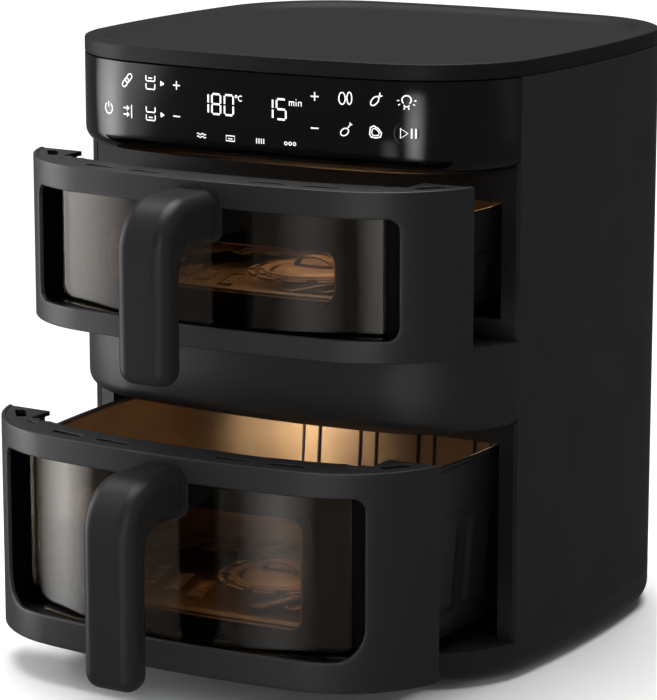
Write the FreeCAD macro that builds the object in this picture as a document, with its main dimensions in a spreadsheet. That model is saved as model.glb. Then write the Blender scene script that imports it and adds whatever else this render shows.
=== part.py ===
import FreeCAD, Part
import math
import os
import re
import Sketcher
from FreeCAD import Placement, Rotation, Vector

# Two-drawer air fryer: X to the right, Y to the back, Z up, millimetres.
# The origin lies on the surface that the feet stand on, under the middle of the housing.

# ---------------------------------------------------------------- driving sizes
SIZES = {
    # plan of the housing: a rounded square of four long arcs and four corner arcs
    "half_width": 155.0,
    "front_reach": 151.7,
    "rear_reach": 149.7,
    "front_bow": 635.0,
    "side_bow": 730.0,
    "rear_bow": 786.0,
    "front_corner": 75.7,
    "rear_corner": 80.7,
    "seam_back": 91.3,
    # heights, from the table up
    "foot_height": 2.5,
    "foot_web": 1.0,
    "base_height": 20.0,
    "lower_front_height": 126.7,
    "band_height": 52.3,
    "upper_front_height": 97.0,
    "panel_height": 54.1,
    "cap_height": 9.5,
    "front_gap": 1.2,
    # mouldings
    "wall": 2.8,
    "deck": 3.0,
    "edge_round": 9.0,
    "base_round": 12.0,
    "cap_rim": 8.5,
    "tray_depth": 3.5,
    "seat_gap": 0.3,
    "overcut": 1.0,
    "rib_width": 4.0,
    "rib_out": 90.0,
    # feet and their screws
    "foot_radius": 11.0,
    "foot_out": 95.0,
    "foot_along": 92.0,
    "screw_radius": 1.6,
    "screw_head": 3.0,
    "screw_head_height": 1.2,
    "screw_length": 8.0,
    "screw_end_gap": 1.0,
    "screw_play": 0.1,
    # bays
    "frame_depth": 5.0,
    "sheet": 1.2,
    "bay_half": 136.0,
    "bay_rear": 104.0,
    "upper_sill": 11.6,
    "lower_sill": 1.2,
    "upper_glide": 1.5,
    "lower_glide": 2.5,
    "glide_out": 92.0,
    "glide_width": 8.0,
    "rim_room": 3.5,
    # hot air units
    "air_centre": 9.0,
    "throat_radius": 82.0,
    "guard_radius": 90.0,
    "dome_radius": 88.0,
    "dome_height": 31.0,
    "dome_flange": 94.0,
    "heater_radius": 70.0,
    "heater_inner": 50.0,
    "heater_tube": 3.2,
    "heater_drop": 8.0,
    "fan_radius": 64.0,
    "fan_height": 11.0,
    "fan_rise": 16.0,
    "fan_blade": 1.6,
    "fan_hub": 13.0,
    "shaft_radius": 3.0,
    "run_clearance": 0.05,
    "motor_radius": 26.0,
    "motor_height": 20.0,
    "shaft_in_motor": 16.0,
    "lamp_radius": 8.0,
    "lamp_holder_radius": 10.0,
    "lamp_out": 105.0,
    "lamp_along": 60.0,
    "lamp_height": 14.0,
    "lens_drop": 1.5,
    "probe_radius": 2.4,
    "switch_out": 108.0,
    "switch_size": 12.0,
    # rear of the housing
    "vent_half_width": 62.0,
    "vent_drop": 46.4,
    "vent_height": 86.0,
    "vent_slot": 5.0,
    "vent_pitch": 10.0,
    "inlet_out": 40.0,
    "inlet_rise": 25.5,
    "inlet_radius": 8.0,
    "inlet_flange": 12.0,
    "inlet_bore": 4.0,
    "inlet_proud": 5.0,
    # boards
    "board_thick": 1.6,
    "board_back": 137.4,
    "board_half": 92.0,
    "board_height": 38.0,
    "display_depth": 5.6,
    "display_half": 34.0,
    "display_height": 20.0,
    "power_half": 60.0,
    "power_rise": 37.5,
    "power_height": 90.0,
    "post_length": 4.0,
    "fascia_post_length": 5.5,
    # drawers
    "upper_pull": 55.05,
    "lower_pull": 92.27,
    "upper_window_rise": 13.0,
    "upper_window_drop": 15.1,
    "upper_window_foot": 8.0,
    "lower_window_rise": 17.7,
    "lower_window_drop": 14.4,
    "lower_window_foot": 20.0,
    "window_half": 122.5,
    "window_corner": 8.0,
    "lens_thick": 3.0,
    "lens_bow": 276.0,
    "lens_half": 109.2,
    "lens_lap": 1.0,
    "bezel_wall": 1.5,
    "deck_land": 25.2,
    "deck_open_half": 113.0,
    "liner_inset": 22.4,
    "liner_wall": 2.5,
    "view_half": 78.0,
    "view_corner": 8.0,
    "upper_view_rise": 16.4,
    "upper_view_drop": 23.5,
    "lower_view_rise": 10.1,
    "lower_view_drop": 19.5,
    "slot_length": 22.0,
    "slot_width": 3.2,
    "slot_inset": 12.0,
    # baskets and crisper plates
    "basket_inset": 25.5,
    "basket_draft": 8.5,
    "basket_rear": 97.0,
    "basket_wall": 1.2,
    "rim_overcut": 0.01,
    "upper_rim_drop": 21.6,
    "lower_rim_drop": 12.6,
    "upper_plate_rise": 9.0,
    "lower_plate_rise": 18.0,
    "plate_thick": 1.5,
    "plate_play": 1.5,
    "plate_slot": 3.5,
    "plate_slot_length": 34.0,
    "plate_slot_start": 30.0,
    "plate_centre": 17.0,
    "bumper_radius": 4.0,
    "bumper_out": 78.0,
    "bumper_along": 62.0,
    # handles
    "handle_half": 17.0,
    "arm_height": 29.6,
    "upper_arm_drop": 19.9,
    "lower_arm_drop": 20.5,
    "upper_grip_rise": -12.6,
    "lower_grip_rise": 1.4,
    "grip_reach": 56.2,
    "grip_depth": 21.0,
    "bend_outer": 30.0,
    "bend_inner": 11.0,
    "grip_end": 10.0,
    "grip_edge": 8.5,
    "handle_split": 11.0,
    "plate_depth": 1.5,
    "plate_margin": 1.2,
    "handle_screw_out": 8.0,
    "handle_screw_rise": 12.1,
}

doc = FreeCAD.newDocument("air_fryer")
sheet = doc.addObject("Spreadsheet::Sheet", "sizes")
for row, (word, size) in enumerate(SIZES.items(), 1):
    sheet.set(f"A{row}", word)
    sheet.set(f"B{row}", str(size))
    sheet.setAlias(f"B{row}", word)
doc.recompute()


# ---------------------------------------------------------------- small tools
def cells(formula):
    """A formula of size names, with each name pointed at its cell of the sheet."""
    return re.sub(r"[a-z_]+", lambda word: f"sizes.{word[0]}" if word[0] in SIZES else word[0], formula)


def box(name, across, along, up):
    """A block between two formulas on X, on Y and on Z."""
    block = doc.addObject("Part::Box", name)
    spans = zip("xyz", ("Length", "Width", "Height"), (across, along, up))
    for axis, side, (low, high) in spans:
        block.setExpression(side, cells(f"({high}) - ({low})"))
        block.setExpression(f"Placement.Base.{axis}", cells(low))
    return block


TURNS = {
    "x": Rotation(Vector(0, 1, 0), 90),
    "y": Rotation(Vector(1, 0, 0), -90),
    "z": Rotation(),
}


def rod(name, radius, axis, low, high, centre):
    """A cylinder along one axis, between two formulas, its centre given on the other two axes."""
    cylinder = doc.addObject("Part::Cylinder", name)
    cylinder.Placement = Placement(Vector(), TURNS[axis])
    cylinder.setExpression("Radius", cells(radius))
    cylinder.setExpression("Height", cells(f"({high}) - ({low})"))
    places = dict(zip("xyz".replace(axis, ""), centre), **{axis: low})
    for direction, place in places.items():
        cylinder.setExpression(f"Placement.Base.{direction}", cells(place))
    return cylinder


def fuse(name, *shapes):
    """All the shapes as one."""
    union = doc.addObject("Part::MultiFuse", name)
    union.Shapes = list(shapes)
    return union


def common(name, *shapes):
    """What the shapes share."""
    shared = doc.addObject("Part::MultiCommon", name)
    shared.Shapes = list(shapes)
    return shared


def cut(name, base, *tools):
    """The base without its tools."""
    rest = doc.addObject("Part::Cut", name)
    rest.Base = base
    rest.Tool = tools[0] if len(tools) == 1 else fuse(f"{name}_tools", *tools)
    return rest


def new_sketch(body, name, plane, level):
    """A sketch on one of its body's own origin planes, raised to a level."""
    sketch = body.newObject("Sketcher::SketchObject", name)
    planes = [item for item in body.Origin.OriginFeatures if item.Role == plane]
    sketch.AttachmentSupport = (planes[0], [""])
    sketch.MapMode = "FlatFace"
    sketch.setExpression("AttachmentOffset.Base.z", cells(level))
    return sketch


def bind(sketch, constraint, formula):
    """Add one constraint and drive it from the sheet."""
    index = sketch.addConstraint(constraint)
    sketch.setExpression(f"Constraints[{index}]", cells(formula))


def far_crossing(first, first_radius, second, second_radius):
    """Where two circles cross, taking the crossing with the larger X."""
    across = second - first
    gap = across.Length
    along = (gap**2 + first_radius**2 - second_radius**2) / (2 * gap)
    aside = math.sqrt(first_radius**2 - along**2)
    unit = across / gap
    normal = Vector(-unit.y, unit.x, 0)
    return max((first + unit * along + normal * aside * side for side in (1, -1)), key=lambda spot: spot.x)


def plan_sketch(body, name, level, inset, rear="rear_reach"):
    """The housing's plan drawn in by an inset: eight arcs, each tangent to the next."""
    sketch = new_sketch(body, name, "XY_Plane", level)
    size = SIZES
    front = Vector(0, size["front_bow"] - size["front_reach"], 0)
    back = Vector(0, size["rear_reach"] - size["rear_bow"], 0)
    side = Vector(size["half_width"] - size["side_bow"], 0, 0)
    side_less_front = size["side_bow"] - size["front_corner"]
    side_less_rear = size["side_bow"] - size["rear_corner"]
    near = far_crossing(front, size["front_bow"] - size["front_corner"], side, side_less_front)
    far = far_crossing(back, size["rear_bow"] - size["rear_corner"], side, side_less_rear)
    mirror = [Vector(-spot.x, spot.y, 0) for spot in (near, far, side)]
    near_turn = math.atan2((near - front).y, (near - front).x)
    near_side = math.atan2((near - side).y, (near - side).x)
    far_side = math.atan2((far - side).y, (far - side).x)
    far_turn = math.atan2((far - back).y, (far - back).x)
    half, whole = math.pi, 2 * math.pi
    arcs = [
        (front, "front_bow", -half - near_turn, near_turn),
        (near, "front_corner", near_turn, near_side),
        (side, "side_bow", near_side, far_side),
        (far, "rear_corner", far_side, far_turn),
        (back, "rear_bow", far_turn, half - far_turn),
        (mirror[1], "rear_corner", half - far_turn, half - far_side),
        (mirror[2], "side_bow", half - far_side, half - near_side),
        (mirror[0], "front_corner", half - near_side, half - near_turn),
    ]
    for centre, bow, start, end in arcs:
        circle = Part.Circle(centre, Vector(0, 0, 1), size[bow])
        sketch.addGeometry(Part.ArcOfCircle(circle, start, end if end > start else end + whole))
    for index, (centre, bow, start, end) in enumerate(arcs):
        sketch.addConstraint(Sketcher.Constraint("Tangent", index, 2, (index + 1) % 8, 1))
        bind(sketch, Sketcher.Constraint("Radius", index, size[bow]), f"{bow} - ({inset})")
    for index in (0, 4):
        sketch.addConstraint(Sketcher.Constraint("PointOnObject", index, 3, -2))
    for index in (2, 6):
        sketch.addConstraint(Sketcher.Constraint("PointOnObject", index, 3, -1))
    bind(sketch, Sketcher.Constraint("DistanceY", 0, 3, front.y), "front_bow - front_reach")
    bind(sketch, Sketcher.Constraint("DistanceY", 4, 3, back.y), f"{rear} - rear_bow")
    bind(sketch, Sketcher.Constraint("DistanceX", 2, 3, side.x), "half_width - side_bow")
    bind(sketch, Sketcher.Constraint("DistanceX", 6, 3, -side.x), "side_bow - half_width")
    return sketch


def plan_block(name, inset, low, high, rear="rear_reach"):
    """The plan, drawn in by an inset and raised between two levels."""
    body = doc.addObject("PartDesign::Body", name)
    pad = body.newObject("PartDesign::Pad", f"{name}_pad")
    pad.Profile = plan_sketch(body, f"{name}_plan", low, inset, rear)
    pad.setExpression("Length", cells(f"({high}) - ({low})"))
    body.Tip = pad
    return body


def drafted_block(name, foot_inset, rim_inset, low, high, foot_rear, rim_rear):
    """The plan lofted between two insets, for a pan with leaning walls."""
    body = doc.addObject("PartDesign::Body", name)
    loft = body.newObject("PartDesign::AdditiveLoft", f"{name}_loft")
    loft.Profile = plan_sketch(body, f"{name}_foot", low, foot_inset, foot_rear)
    loft.Sections = [plan_sketch(body, f"{name}_rim", high, rim_inset, rim_rear)]
    loft.Ruled = True
    body.Tip = loft
    return body


def polygon_pad(name, plane, corners, length, level="0", midplane=False):
    """A closed outline of straight sides, every corner driven from the sheet, then padded."""
    body = doc.addObject("PartDesign::Body", name)
    sketch = new_sketch(body, f"{name}_outline", plane, level)
    count = len(corners)
    ring = [Vector(math.cos(turn), math.sin(turn), 0) * 50
            for turn in (2 * math.pi * step / count for step in range(count))]
    for index in range(count):
        sketch.addGeometry(Part.LineSegment(ring[index], ring[(index + 1) % count]))
    for index in range(count):
        sketch.addConstraint(Sketcher.Constraint("Coincident", index, 2, (index + 1) % count, 1))
    for index, (first, second) in enumerate(corners):
        bind(sketch, Sketcher.Constraint("DistanceX", index, 1, ring[index].x), first)
        bind(sketch, Sketcher.Constraint("DistanceY", index, 1, ring[index].y), second)
    pad = body.newObject("PartDesign::Pad", f"{name}_pad")
    pad.Profile = sketch
    pad.Midplane = midplane
    pad.setExpression("Length", cells(length))
    body.Tip = pad
    return body


def edges_where(feature, test):
    """Names of the edges whose middle point passes a test."""
    doc.recompute()
    edges = enumerate(feature.Shape.Edges, 1)
    return [f"Edge{number}" for number, edge in edges if test(edge)]


def round_edges(body, test, radius):
    """Fillet the edges of the body's last feature that pass a test."""
    last = body.Tip
    names = edges_where(last, test)
    fillet = body.newObject("PartDesign::Fillet", f"{body.Name}_round{len(body.Group)}")
    fillet.Base = (last, names)
    fillet.setExpression("Radius", cells(radius))
    body.Tip = fillet
    return body


def rounded_window(name, half, along, low, high, corner, foot_corner=None):
    """A block with four rounded corners, seen along Y; its two lower corners may have their own radius."""
    body = polygon_pad(name, "XZ_Plane", [(f"-({half})", low), (half, low), (half, high), (f"-({half})", high)],
                       f"({along[1]}) - ({along[0]})", f"-({along[1]})")
    if foot_corner is None:
        return round_edges(body, is_along_y, corner)
    doc.recompute()
    middle = body.Shape.BoundBox.Center.z
    round_edges(body, lambda edge: is_along_y(edge) and edge.CenterOfMass.z > middle, corner)
    return round_edges(body, lambda edge: is_along_y(edge) and edge.CenterOfMass.z < middle, foot_corner)


def direction(edge):
    """The unit step from one end of a straight edge to the other."""
    step = edge.valueAt(edge.LastParameter) - edge.valueAt(edge.FirstParameter)
    return step / step.Length if step.Length > 1e-6 else Vector()


def is_along_y(edge):
    return abs(direction(edge).y) > 0.99


nodes = {}


def keep(label, piece):
    """Name a finished sub-part."""
    piece.Label = label
    nodes[label] = piece
    return piece


# ---------------------------------------------------------------- levels
BASE_TOP = "(foot_height + base_height)"
LOWER_LOW = f"({BASE_TOP} + front_gap)"
LOWER_HIGH = f"({LOWER_LOW} + lower_front_height)"
BAND_LOW = f"({LOWER_HIGH} + front_gap)"
BAND_TOP = f"({BAND_LOW} + band_height)"
UPPER_LOW = f"({BAND_TOP} + front_gap)"
UPPER_HIGH = f"({UPPER_LOW} + upper_front_height)"
PANEL_LOW = f"({UPPER_HIGH} + front_gap)"
CAP_LOW = f"({PANEL_LOW} + panel_height)"
CAP_TOP = f"({CAP_LOW} + cap_height)"
SEAM = "-seam_back"
FRAME_FRONT = "(-seam_back + seat_gap)"
FRAME_BACK = f"({FRAME_FRONT} + frame_depth)"
BEHIND = "(rear_reach + half_width)"
FRONT = "(-front_reach - half_width)"
VENT_LOW = f"({CAP_LOW} - vent_drop - vent_height)"
VENT_HIGH = f"({CAP_LOW} - vent_drop)"
INLET_LEVEL = f"({BASE_TOP} + inlet_rise)"
POWER_LOW = f"({BASE_TOP} + power_rise)"
WIDE = ("-2 * half_width", "2 * half_width")

TIERS = {
    "upper": {"front": (UPPER_LOW, UPPER_HIGH), "floor": f"({BAND_TOP} + upper_sill)"},
    "lower": {"front": (LOWER_LOW, LOWER_HIGH), "floor": f"({BASE_TOP} + lower_sill)"},
}
for tier, levels in TIERS.items():
    front_low, front_high = levels["front"]
    levels["foot"] = f"({levels['floor']} + {tier}_glide + seat_gap)"
    levels["rim"] = f"({front_high} - {tier}_rim_drop)"
    levels["ceiling"] = f"({levels['rim']} + rim_room)"
    levels["window"] = (f"({front_low} + {tier}_window_rise)", f"({front_high} - {tier}_window_drop)")
    levels["view"] = (f"({levels['window'][0]} + {tier}_view_rise)", f"({levels['window'][1]} - {tier}_view_drop)")
    levels["arm"] = f"({front_high} - {tier}_arm_drop)"
    levels["grip_foot"] = f"({front_low} + {tier}_grip_rise)"


def bottom_edges(level):
    """A test for the outer edges at one level."""
    return lambda edge: abs(edge.BoundBox.ZMax - level) < 1e-3 and edge.BoundBox.ZLength < 1e-3


def front_moulding(name, low, high, bottom_deck, rounded):
    """A hollow moulding across the front of the housing, back to the side seam."""
    blank = plan_block(f"{name}_blank", "0", low, high)
    if rounded:
        doc.recompute()
        round_edges(blank, bottom_edges(blank.Shape.BoundBox.ZMin), "edge_round")
    hollow = plan_block(f"{name}_hollow", "wall", f"{low} + {bottom_deck}", f"{high} - deck")
    rear = box(f"{name}_rear", WIDE, (SEAM, BEHIND), (f"{low} - deck", f"{high} + deck"))
    return cut(f"{name}_shell", blank, hollow, rear)


# ---------------------------------------------------------------- housing
def make_feet():
    """Four rubber feet, each held by a screw from below."""
    feet, screws, holes = [], [], []
    for number, (x, y) in enumerate([(1, 1), (1, -1), (-1, 1), (-1, -1)]):
        spot = (f"{x} * foot_out", f"{y} * foot_along")
        pad = rod(f"foot_pad{number}", "foot_radius", "z", "0", "foot_height", spot)
        recess = rod(f"foot_recess{number}", "screw_head + 4 * screw_play", "z", "-overcut",
                     "foot_height - foot_web", spot)
        hole = rod(f"foot_hole{number}", "screw_radius + screw_play", "z", "-overcut",
                   "foot_height + screw_length", spot)
        feet.append(cut(f"foot{number}", pad, recess, hole))
        head = rod(f"foot_screw_head{number}", "screw_head", "z", "foot_height - foot_web - screw_head_height",
                   "foot_height - foot_web", spot)
        shank = rod(f"foot_screw_shank{number}", "screw_radius", "z", "foot_height - foot_web",
                    "foot_height + screw_length - screw_end_gap", spot)
        screws.append(fuse(f"foot_screw{number}", head, shank))
        holes.append(hole)
    keep("rubber_feet", fuse("rubber_feet_group", *feet))
    keep("foot_screws", fuse("foot_screws_group", *screws))
    return holes


def make_base(screw_holes):
    """Base tray: closed deck in front of the bays, open and ribbed below them."""
    blank = plan_block("base_blank", "0", "foot_height", BASE_TOP)
    doc.recompute()
    round_edges(blank, bottom_edges(SIZES["foot_height"]), "base_round")
    hollow = plan_block("base_hollow", "base_round / 2", "foot_height + deck", f"{BASE_TOP} - deck")
    mouth = plan_block("base_mouth", "wall", f"{BASE_TOP} - deck", f"{BASE_TOP} + deck")
    behind = box("base_mouth_span", WIDE, (FRAME_BACK, BEHIND), ("0", f"{BASE_TOP} + 2 * deck"))
    shell = cut("base_shell", blank, hollow, common("base_mouth_part", mouth, behind))
    ribs = [
        box(f"base_rib{side}", (f"{side} * rib_out - rib_width / 2", f"{side} * rib_out + rib_width / 2"),
            (FRAME_BACK, "bay_rear"), ("foot_height + deck / 2", BASE_TOP))
        for side in (1, -1)
    ]
    keep("base_tray", cut("base_drilled", fuse("base_ribbed", shell, *ribs), *screw_holes))


def make_wrap():
    """One-piece skin round both sides and the back, with its vent and inlet holes."""
    outer = plan_block("wrap_outer", "0", BASE_TOP, CAP_LOW)
    inner = plan_block("wrap_inner", "wall", f"{BASE_TOP} - deck", f"{CAP_LOW} + deck")
    ahead = box("wrap_front", WIDE, (FRONT, SEAM), (f"{BASE_TOP} - deck", f"{CAP_LOW} + deck"))
    vent = box("wrap_vent", ("-vent_half_width", "vent_half_width"), ("rear_reach - 8 * wall", BEHIND),
               (VENT_LOW, VENT_HIGH))
    inlet = rod("wrap_inlet", "inlet_radius + seat_gap", "y", "rear_reach - 8 * wall", BEHIND,
                ("inlet_out", INLET_LEVEL))
    keep("side_wrap", cut("wrap_skin", outer, inner, ahead, vent, inlet))


VENT_SLOTS = 7


def make_rear_fittings():
    """Exhaust grille that follows the bow of the back, and the empty cord gland."""
    ring = cut("grille_ring", plan_block("grille_outer", "0", VENT_LOW, VENT_HIGH),
               plan_block("grille_inner", "wall", f"{VENT_LOW} - deck", f"{VENT_HIGH} + deck"))
    span = box("grille_span", ("-vent_half_width + seat_gap", "vent_half_width - seat_gap"), ("0", BEHIND),
               (f"{VENT_LOW} + seat_gap", f"{VENT_HIGH} - seat_gap"))
    slots = [
        box(f"grille_slot{row}", ("-vent_half_width + vent_pitch", "vent_half_width - vent_pitch"),
            ("0", BEHIND), (f"{VENT_LOW} + {row} * vent_pitch", f"{VENT_LOW} + {row} * vent_pitch + vent_slot"))
        for row in range(1, VENT_SLOTS + 1)
    ]
    keep("rear_vent_grille", cut("grille", common("grille_plate", ring, span), *slots))
    spot = ("inlet_out", INLET_LEVEL)
    back = "(rear_reach - screw_radius)"
    flange = rod("inlet_disc", "inlet_flange", "y", f"{back} - 2 * wall", f"{back} - wall - overcut", spot)
    neck = rod("inlet_neck", "inlet_radius", "y", f"{back} - 2 * wall", f"{back} + inlet_proud", spot)
    bore = rod("inlet_hole", "inlet_bore", "y", f"{back} - 4 * wall", f"{back} + 2 * inlet_proud", spot)
    keep("cord_inlet", cut("inlet", fuse("inlet_blank", flange, neck), bore))


def make_cap():
    """Top cap: a rim round a shallow tray, hollow below."""
    blank = plan_block("cap_blank", "0", CAP_LOW, CAP_TOP)
    tray = plan_block("cap_tray", "cap_rim", f"{CAP_TOP} - tray_depth", f"{CAP_TOP} + deck")
    under = plan_block("cap_under", "wall", f"{CAP_LOW} - deck", f"{CAP_TOP} - tray_depth - wall")
    keep("top_cap", cut("cap", blank, tray, under))


def make_frame():
    """Upright frame behind the front mouldings; both bays open through it."""
    plate = common("frame_plate", plan_block("frame_plan", "wall + seat_gap", BASE_TOP, CAP_LOW),
                   box("frame_span", WIDE, (FRAME_FRONT, FRAME_BACK), (BASE_TOP, CAP_LOW)))
    openings = [
        box(f"frame_{tier}_opening", ("-bay_half", "bay_half"), (FRONT, BEHIND), (levels["floor"], levels["ceiling"]))
        for tier, levels in TIERS.items()
    ]
    pins = [
        rod(f"frame_{tier}_pin_hole", "probe_radius / 2 + seat_gap", "y", f"{FRAME_FRONT} - overcut",
            f"{FRAME_BACK} + overcut",
            ("switch_out + switch_size / 2", f"{levels['ceiling']} + switch_size"))
        for tier, levels in TIERS.items()
    ]
    keep("front_frame", cut("frame", plate, *openings, *pins))


def make_front_fixed():
    """Control fascia with its board posts, and the band between the drawers."""
    fascia = front_moulding("fascia", PANEL_LOW, CAP_LOW, "deck + wall", True)
    posts = [
        rod(f"fascia_post{number}", "screw_head", "y", "-board_back - board_thick - fascia_post_length",
            "-board_back - board_thick",
            (f"{side} * (board_half - 2 * screw_head)", f"{PANEL_LOW} + panel_height / 2 + {up} * board_height / 3"))
        for number, (side, up) in enumerate([(1, 1), (1, -1), (-1, 1), (-1, -1)])
    ]
    keep("control_fascia", fuse("fascia_posted", fascia, *posts))
    keep("middle_band", front_moulding("band", BAND_LOW, BAND_TOP, "deck + wall", True))


def make_boards():
    """Touch board with its display behind the fascia, and the power board behind the lower bay."""
    middle = f"({PANEL_LOW} + panel_height / 2)"
    face = "(-board_back - board_thick)"
    keep("touch_board", box("touch_sheet", ("-board_half", "board_half"), (face, "-board_back"),
                            (f"{middle} - board_height / 2", f"{middle} + board_height / 2")))
    keep("display_module", box("display_block", ("-display_half", "display_half"), (f"{face} - display_depth", face),
                               (f"{middle} - display_height / 2", f"{middle} + display_height / 2")))
    back = "(bay_rear + sheet)"
    board = box("power_sheet", ("-power_half", "power_half"),
                (f"{back} + post_length", f"{back} + post_length + board_thick"),
                (POWER_LOW, f"{POWER_LOW} + power_height"))
    posts = [
        rod(f"power_post{number}", "screw_head", "y", back, f"{back} + post_length",
            (f"{side} * (power_half - 2 * screw_head)", f"{POWER_LOW} + power_height / 2 + {up} * power_height / 3"))
        for number, (side, up) in enumerate([(1, 1), (1, -1), (-1, 1), (-1, -1)])
    ]
    relay = box("power_relay", ("-power_half / 2", "0"), (f"{back} + post_length", f"{back} + 4 * post_length"),
                (f"{POWER_LOW} + power_height / 4", f"{POWER_LOW} + power_height / 2"))
    keep("power_board", fuse("power_assembly", board, relay, *posts))


# ---------------------------------------------------------------- bays and hot air units
def make_bay(tier, levels):
    """Sheet-metal chamber of one tier, open at the front and over its air throat."""
    floor, ceiling = levels["floor"], levels["ceiling"]
    outer = box(f"{tier}_bay_outer", ("-bay_half - sheet", "bay_half + sheet"), (FRAME_BACK, "bay_rear + sheet"),
                (f"{floor} - sheet", f"{ceiling} + sheet"))
    inner = box(f"{tier}_bay_inner", ("-bay_half", "bay_half"), (FRONT, "bay_rear"), (floor, ceiling))
    roof = (f"{ceiling} - sheet", f"{ceiling} + 2 * sheet")
    throat = rod(f"{tier}_throat", "throat_radius", "z", *roof, ("0", "air_centre"))
    lens = rod(f"{tier}_lens_hole", "lamp_radius + screw_play", "z", *roof, ("lamp_out", "-lamp_along"))
    keep(f"{tier}_bay", cut(f"{tier}_chamber", outer, inner, throat, lens))
    strips = [
        box(f"{tier}_glide{side}", (f"{side} * glide_out - glide_width / 2", f"{side} * glide_out + glide_width / 2"),
            (FRAME_BACK, "basket_rear"), (floor, f"{floor} + {tier}_glide"))
        for side in (1, -1)
    ]
    keep(f"{tier}_glide_strips", fuse(f"{tier}_glides", *strips))


# each ring of slots: its start and end as parts of the guard's radius, and how many
GUARD_RINGS = ((0.2, 0.42, 12), (0.52, 0.84, 24))
FAN_BLADES = 9
PLATE_SLOTS = 16
DECK_SLOT_TURNS = (-6.9, -3.75, 3.75, 6.9)


def make_guard(tier, seat):
    """Round sheet guard under the heater, with rings of slots."""
    body = doc.addObject("PartDesign::Body", f"{tier}_guard")
    disc = new_sketch(body, f"{tier}_guard_disc", "XY_Plane", seat)
    disc.setExpression("AttachmentOffset.Base.y", cells("air_centre"))
    disc.addGeometry(Part.Circle(Vector(), Vector(0, 0, 1), SIZES["guard_radius"]))
    disc.addConstraint(Sketcher.Constraint("Coincident", 0, 3, -1, 1))
    bind(disc, Sketcher.Constraint("Radius", 0, SIZES["guard_radius"]), "guard_radius")
    pad = body.newObject("PartDesign::Pad", f"{tier}_guard_pad")
    pad.Profile = disc
    pad.setExpression("Length", cells("sheet"))
    body.Tip = pad
    for ring, (start, end, count) in enumerate(GUARD_RINGS):
        slots_round(body, f"{tier}_guard_slot{ring}", f"{seat} + sheet", "air_centre", f"{start} * guard_radius",
                    f"{end} * guard_radius", "plate_slot", "2 * sheet", count)
    return keep(f"{tier}_heater_guard", body)


def slots_round(body, name, level, shift, start, end, width, depth, count):
    """One straight slot pocketed down from a level, repeated round the upright axis."""
    slot = new_sketch(body, name, "XY_Plane", level)
    slot.setExpression("AttachmentOffset.Base.y", cells(shift))
    ring = [Vector(1, -1, 0), Vector(9, -1, 0), Vector(9, 1, 0), Vector(1, 1, 0)]
    for index in range(4):
        slot.addGeometry(Part.LineSegment(ring[index], ring[(index + 1) % 4]))
        slot.addConstraint(Sketcher.Constraint("Coincident", index - 1, 2, index, 1) if index else
                           Sketcher.Constraint("Horizontal", 0))
    slot.addConstraint(Sketcher.Constraint("Coincident", 3, 2, 0, 1))
    slot.addConstraint(Sketcher.Constraint("Horizontal", 2))
    slot.addConstraint(Sketcher.Constraint("Vertical", 1))
    slot.addConstraint(Sketcher.Constraint("Vertical", 3))
    bind(slot, Sketcher.Constraint("DistanceX", 0, 1, 1), start)
    bind(slot, Sketcher.Constraint("DistanceX", 0, 2, 9), end)
    bind(slot, Sketcher.Constraint("DistanceY", 0, 1, -1), f"-({width}) / 2")
    bind(slot, Sketcher.Constraint("DistanceY", 2, 1, 1), f"({width}) / 2")
    pocket = body.newObject("PartDesign::Pocket", f"{name}_pocket")
    pocket.Profile = slot
    pocket.setExpression("Length", cells(depth))
    body.Tip = pocket
    doc.recompute()
    pattern = body.newObject("PartDesign::PolarPattern", f"{name}_pattern")
    pattern.Originals = [pocket]
    pattern.Axis = (slot, ["N_Axis"])
    pattern.Angle = 360
    pattern.Occurrences = count
    body.Tip = pattern


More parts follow.
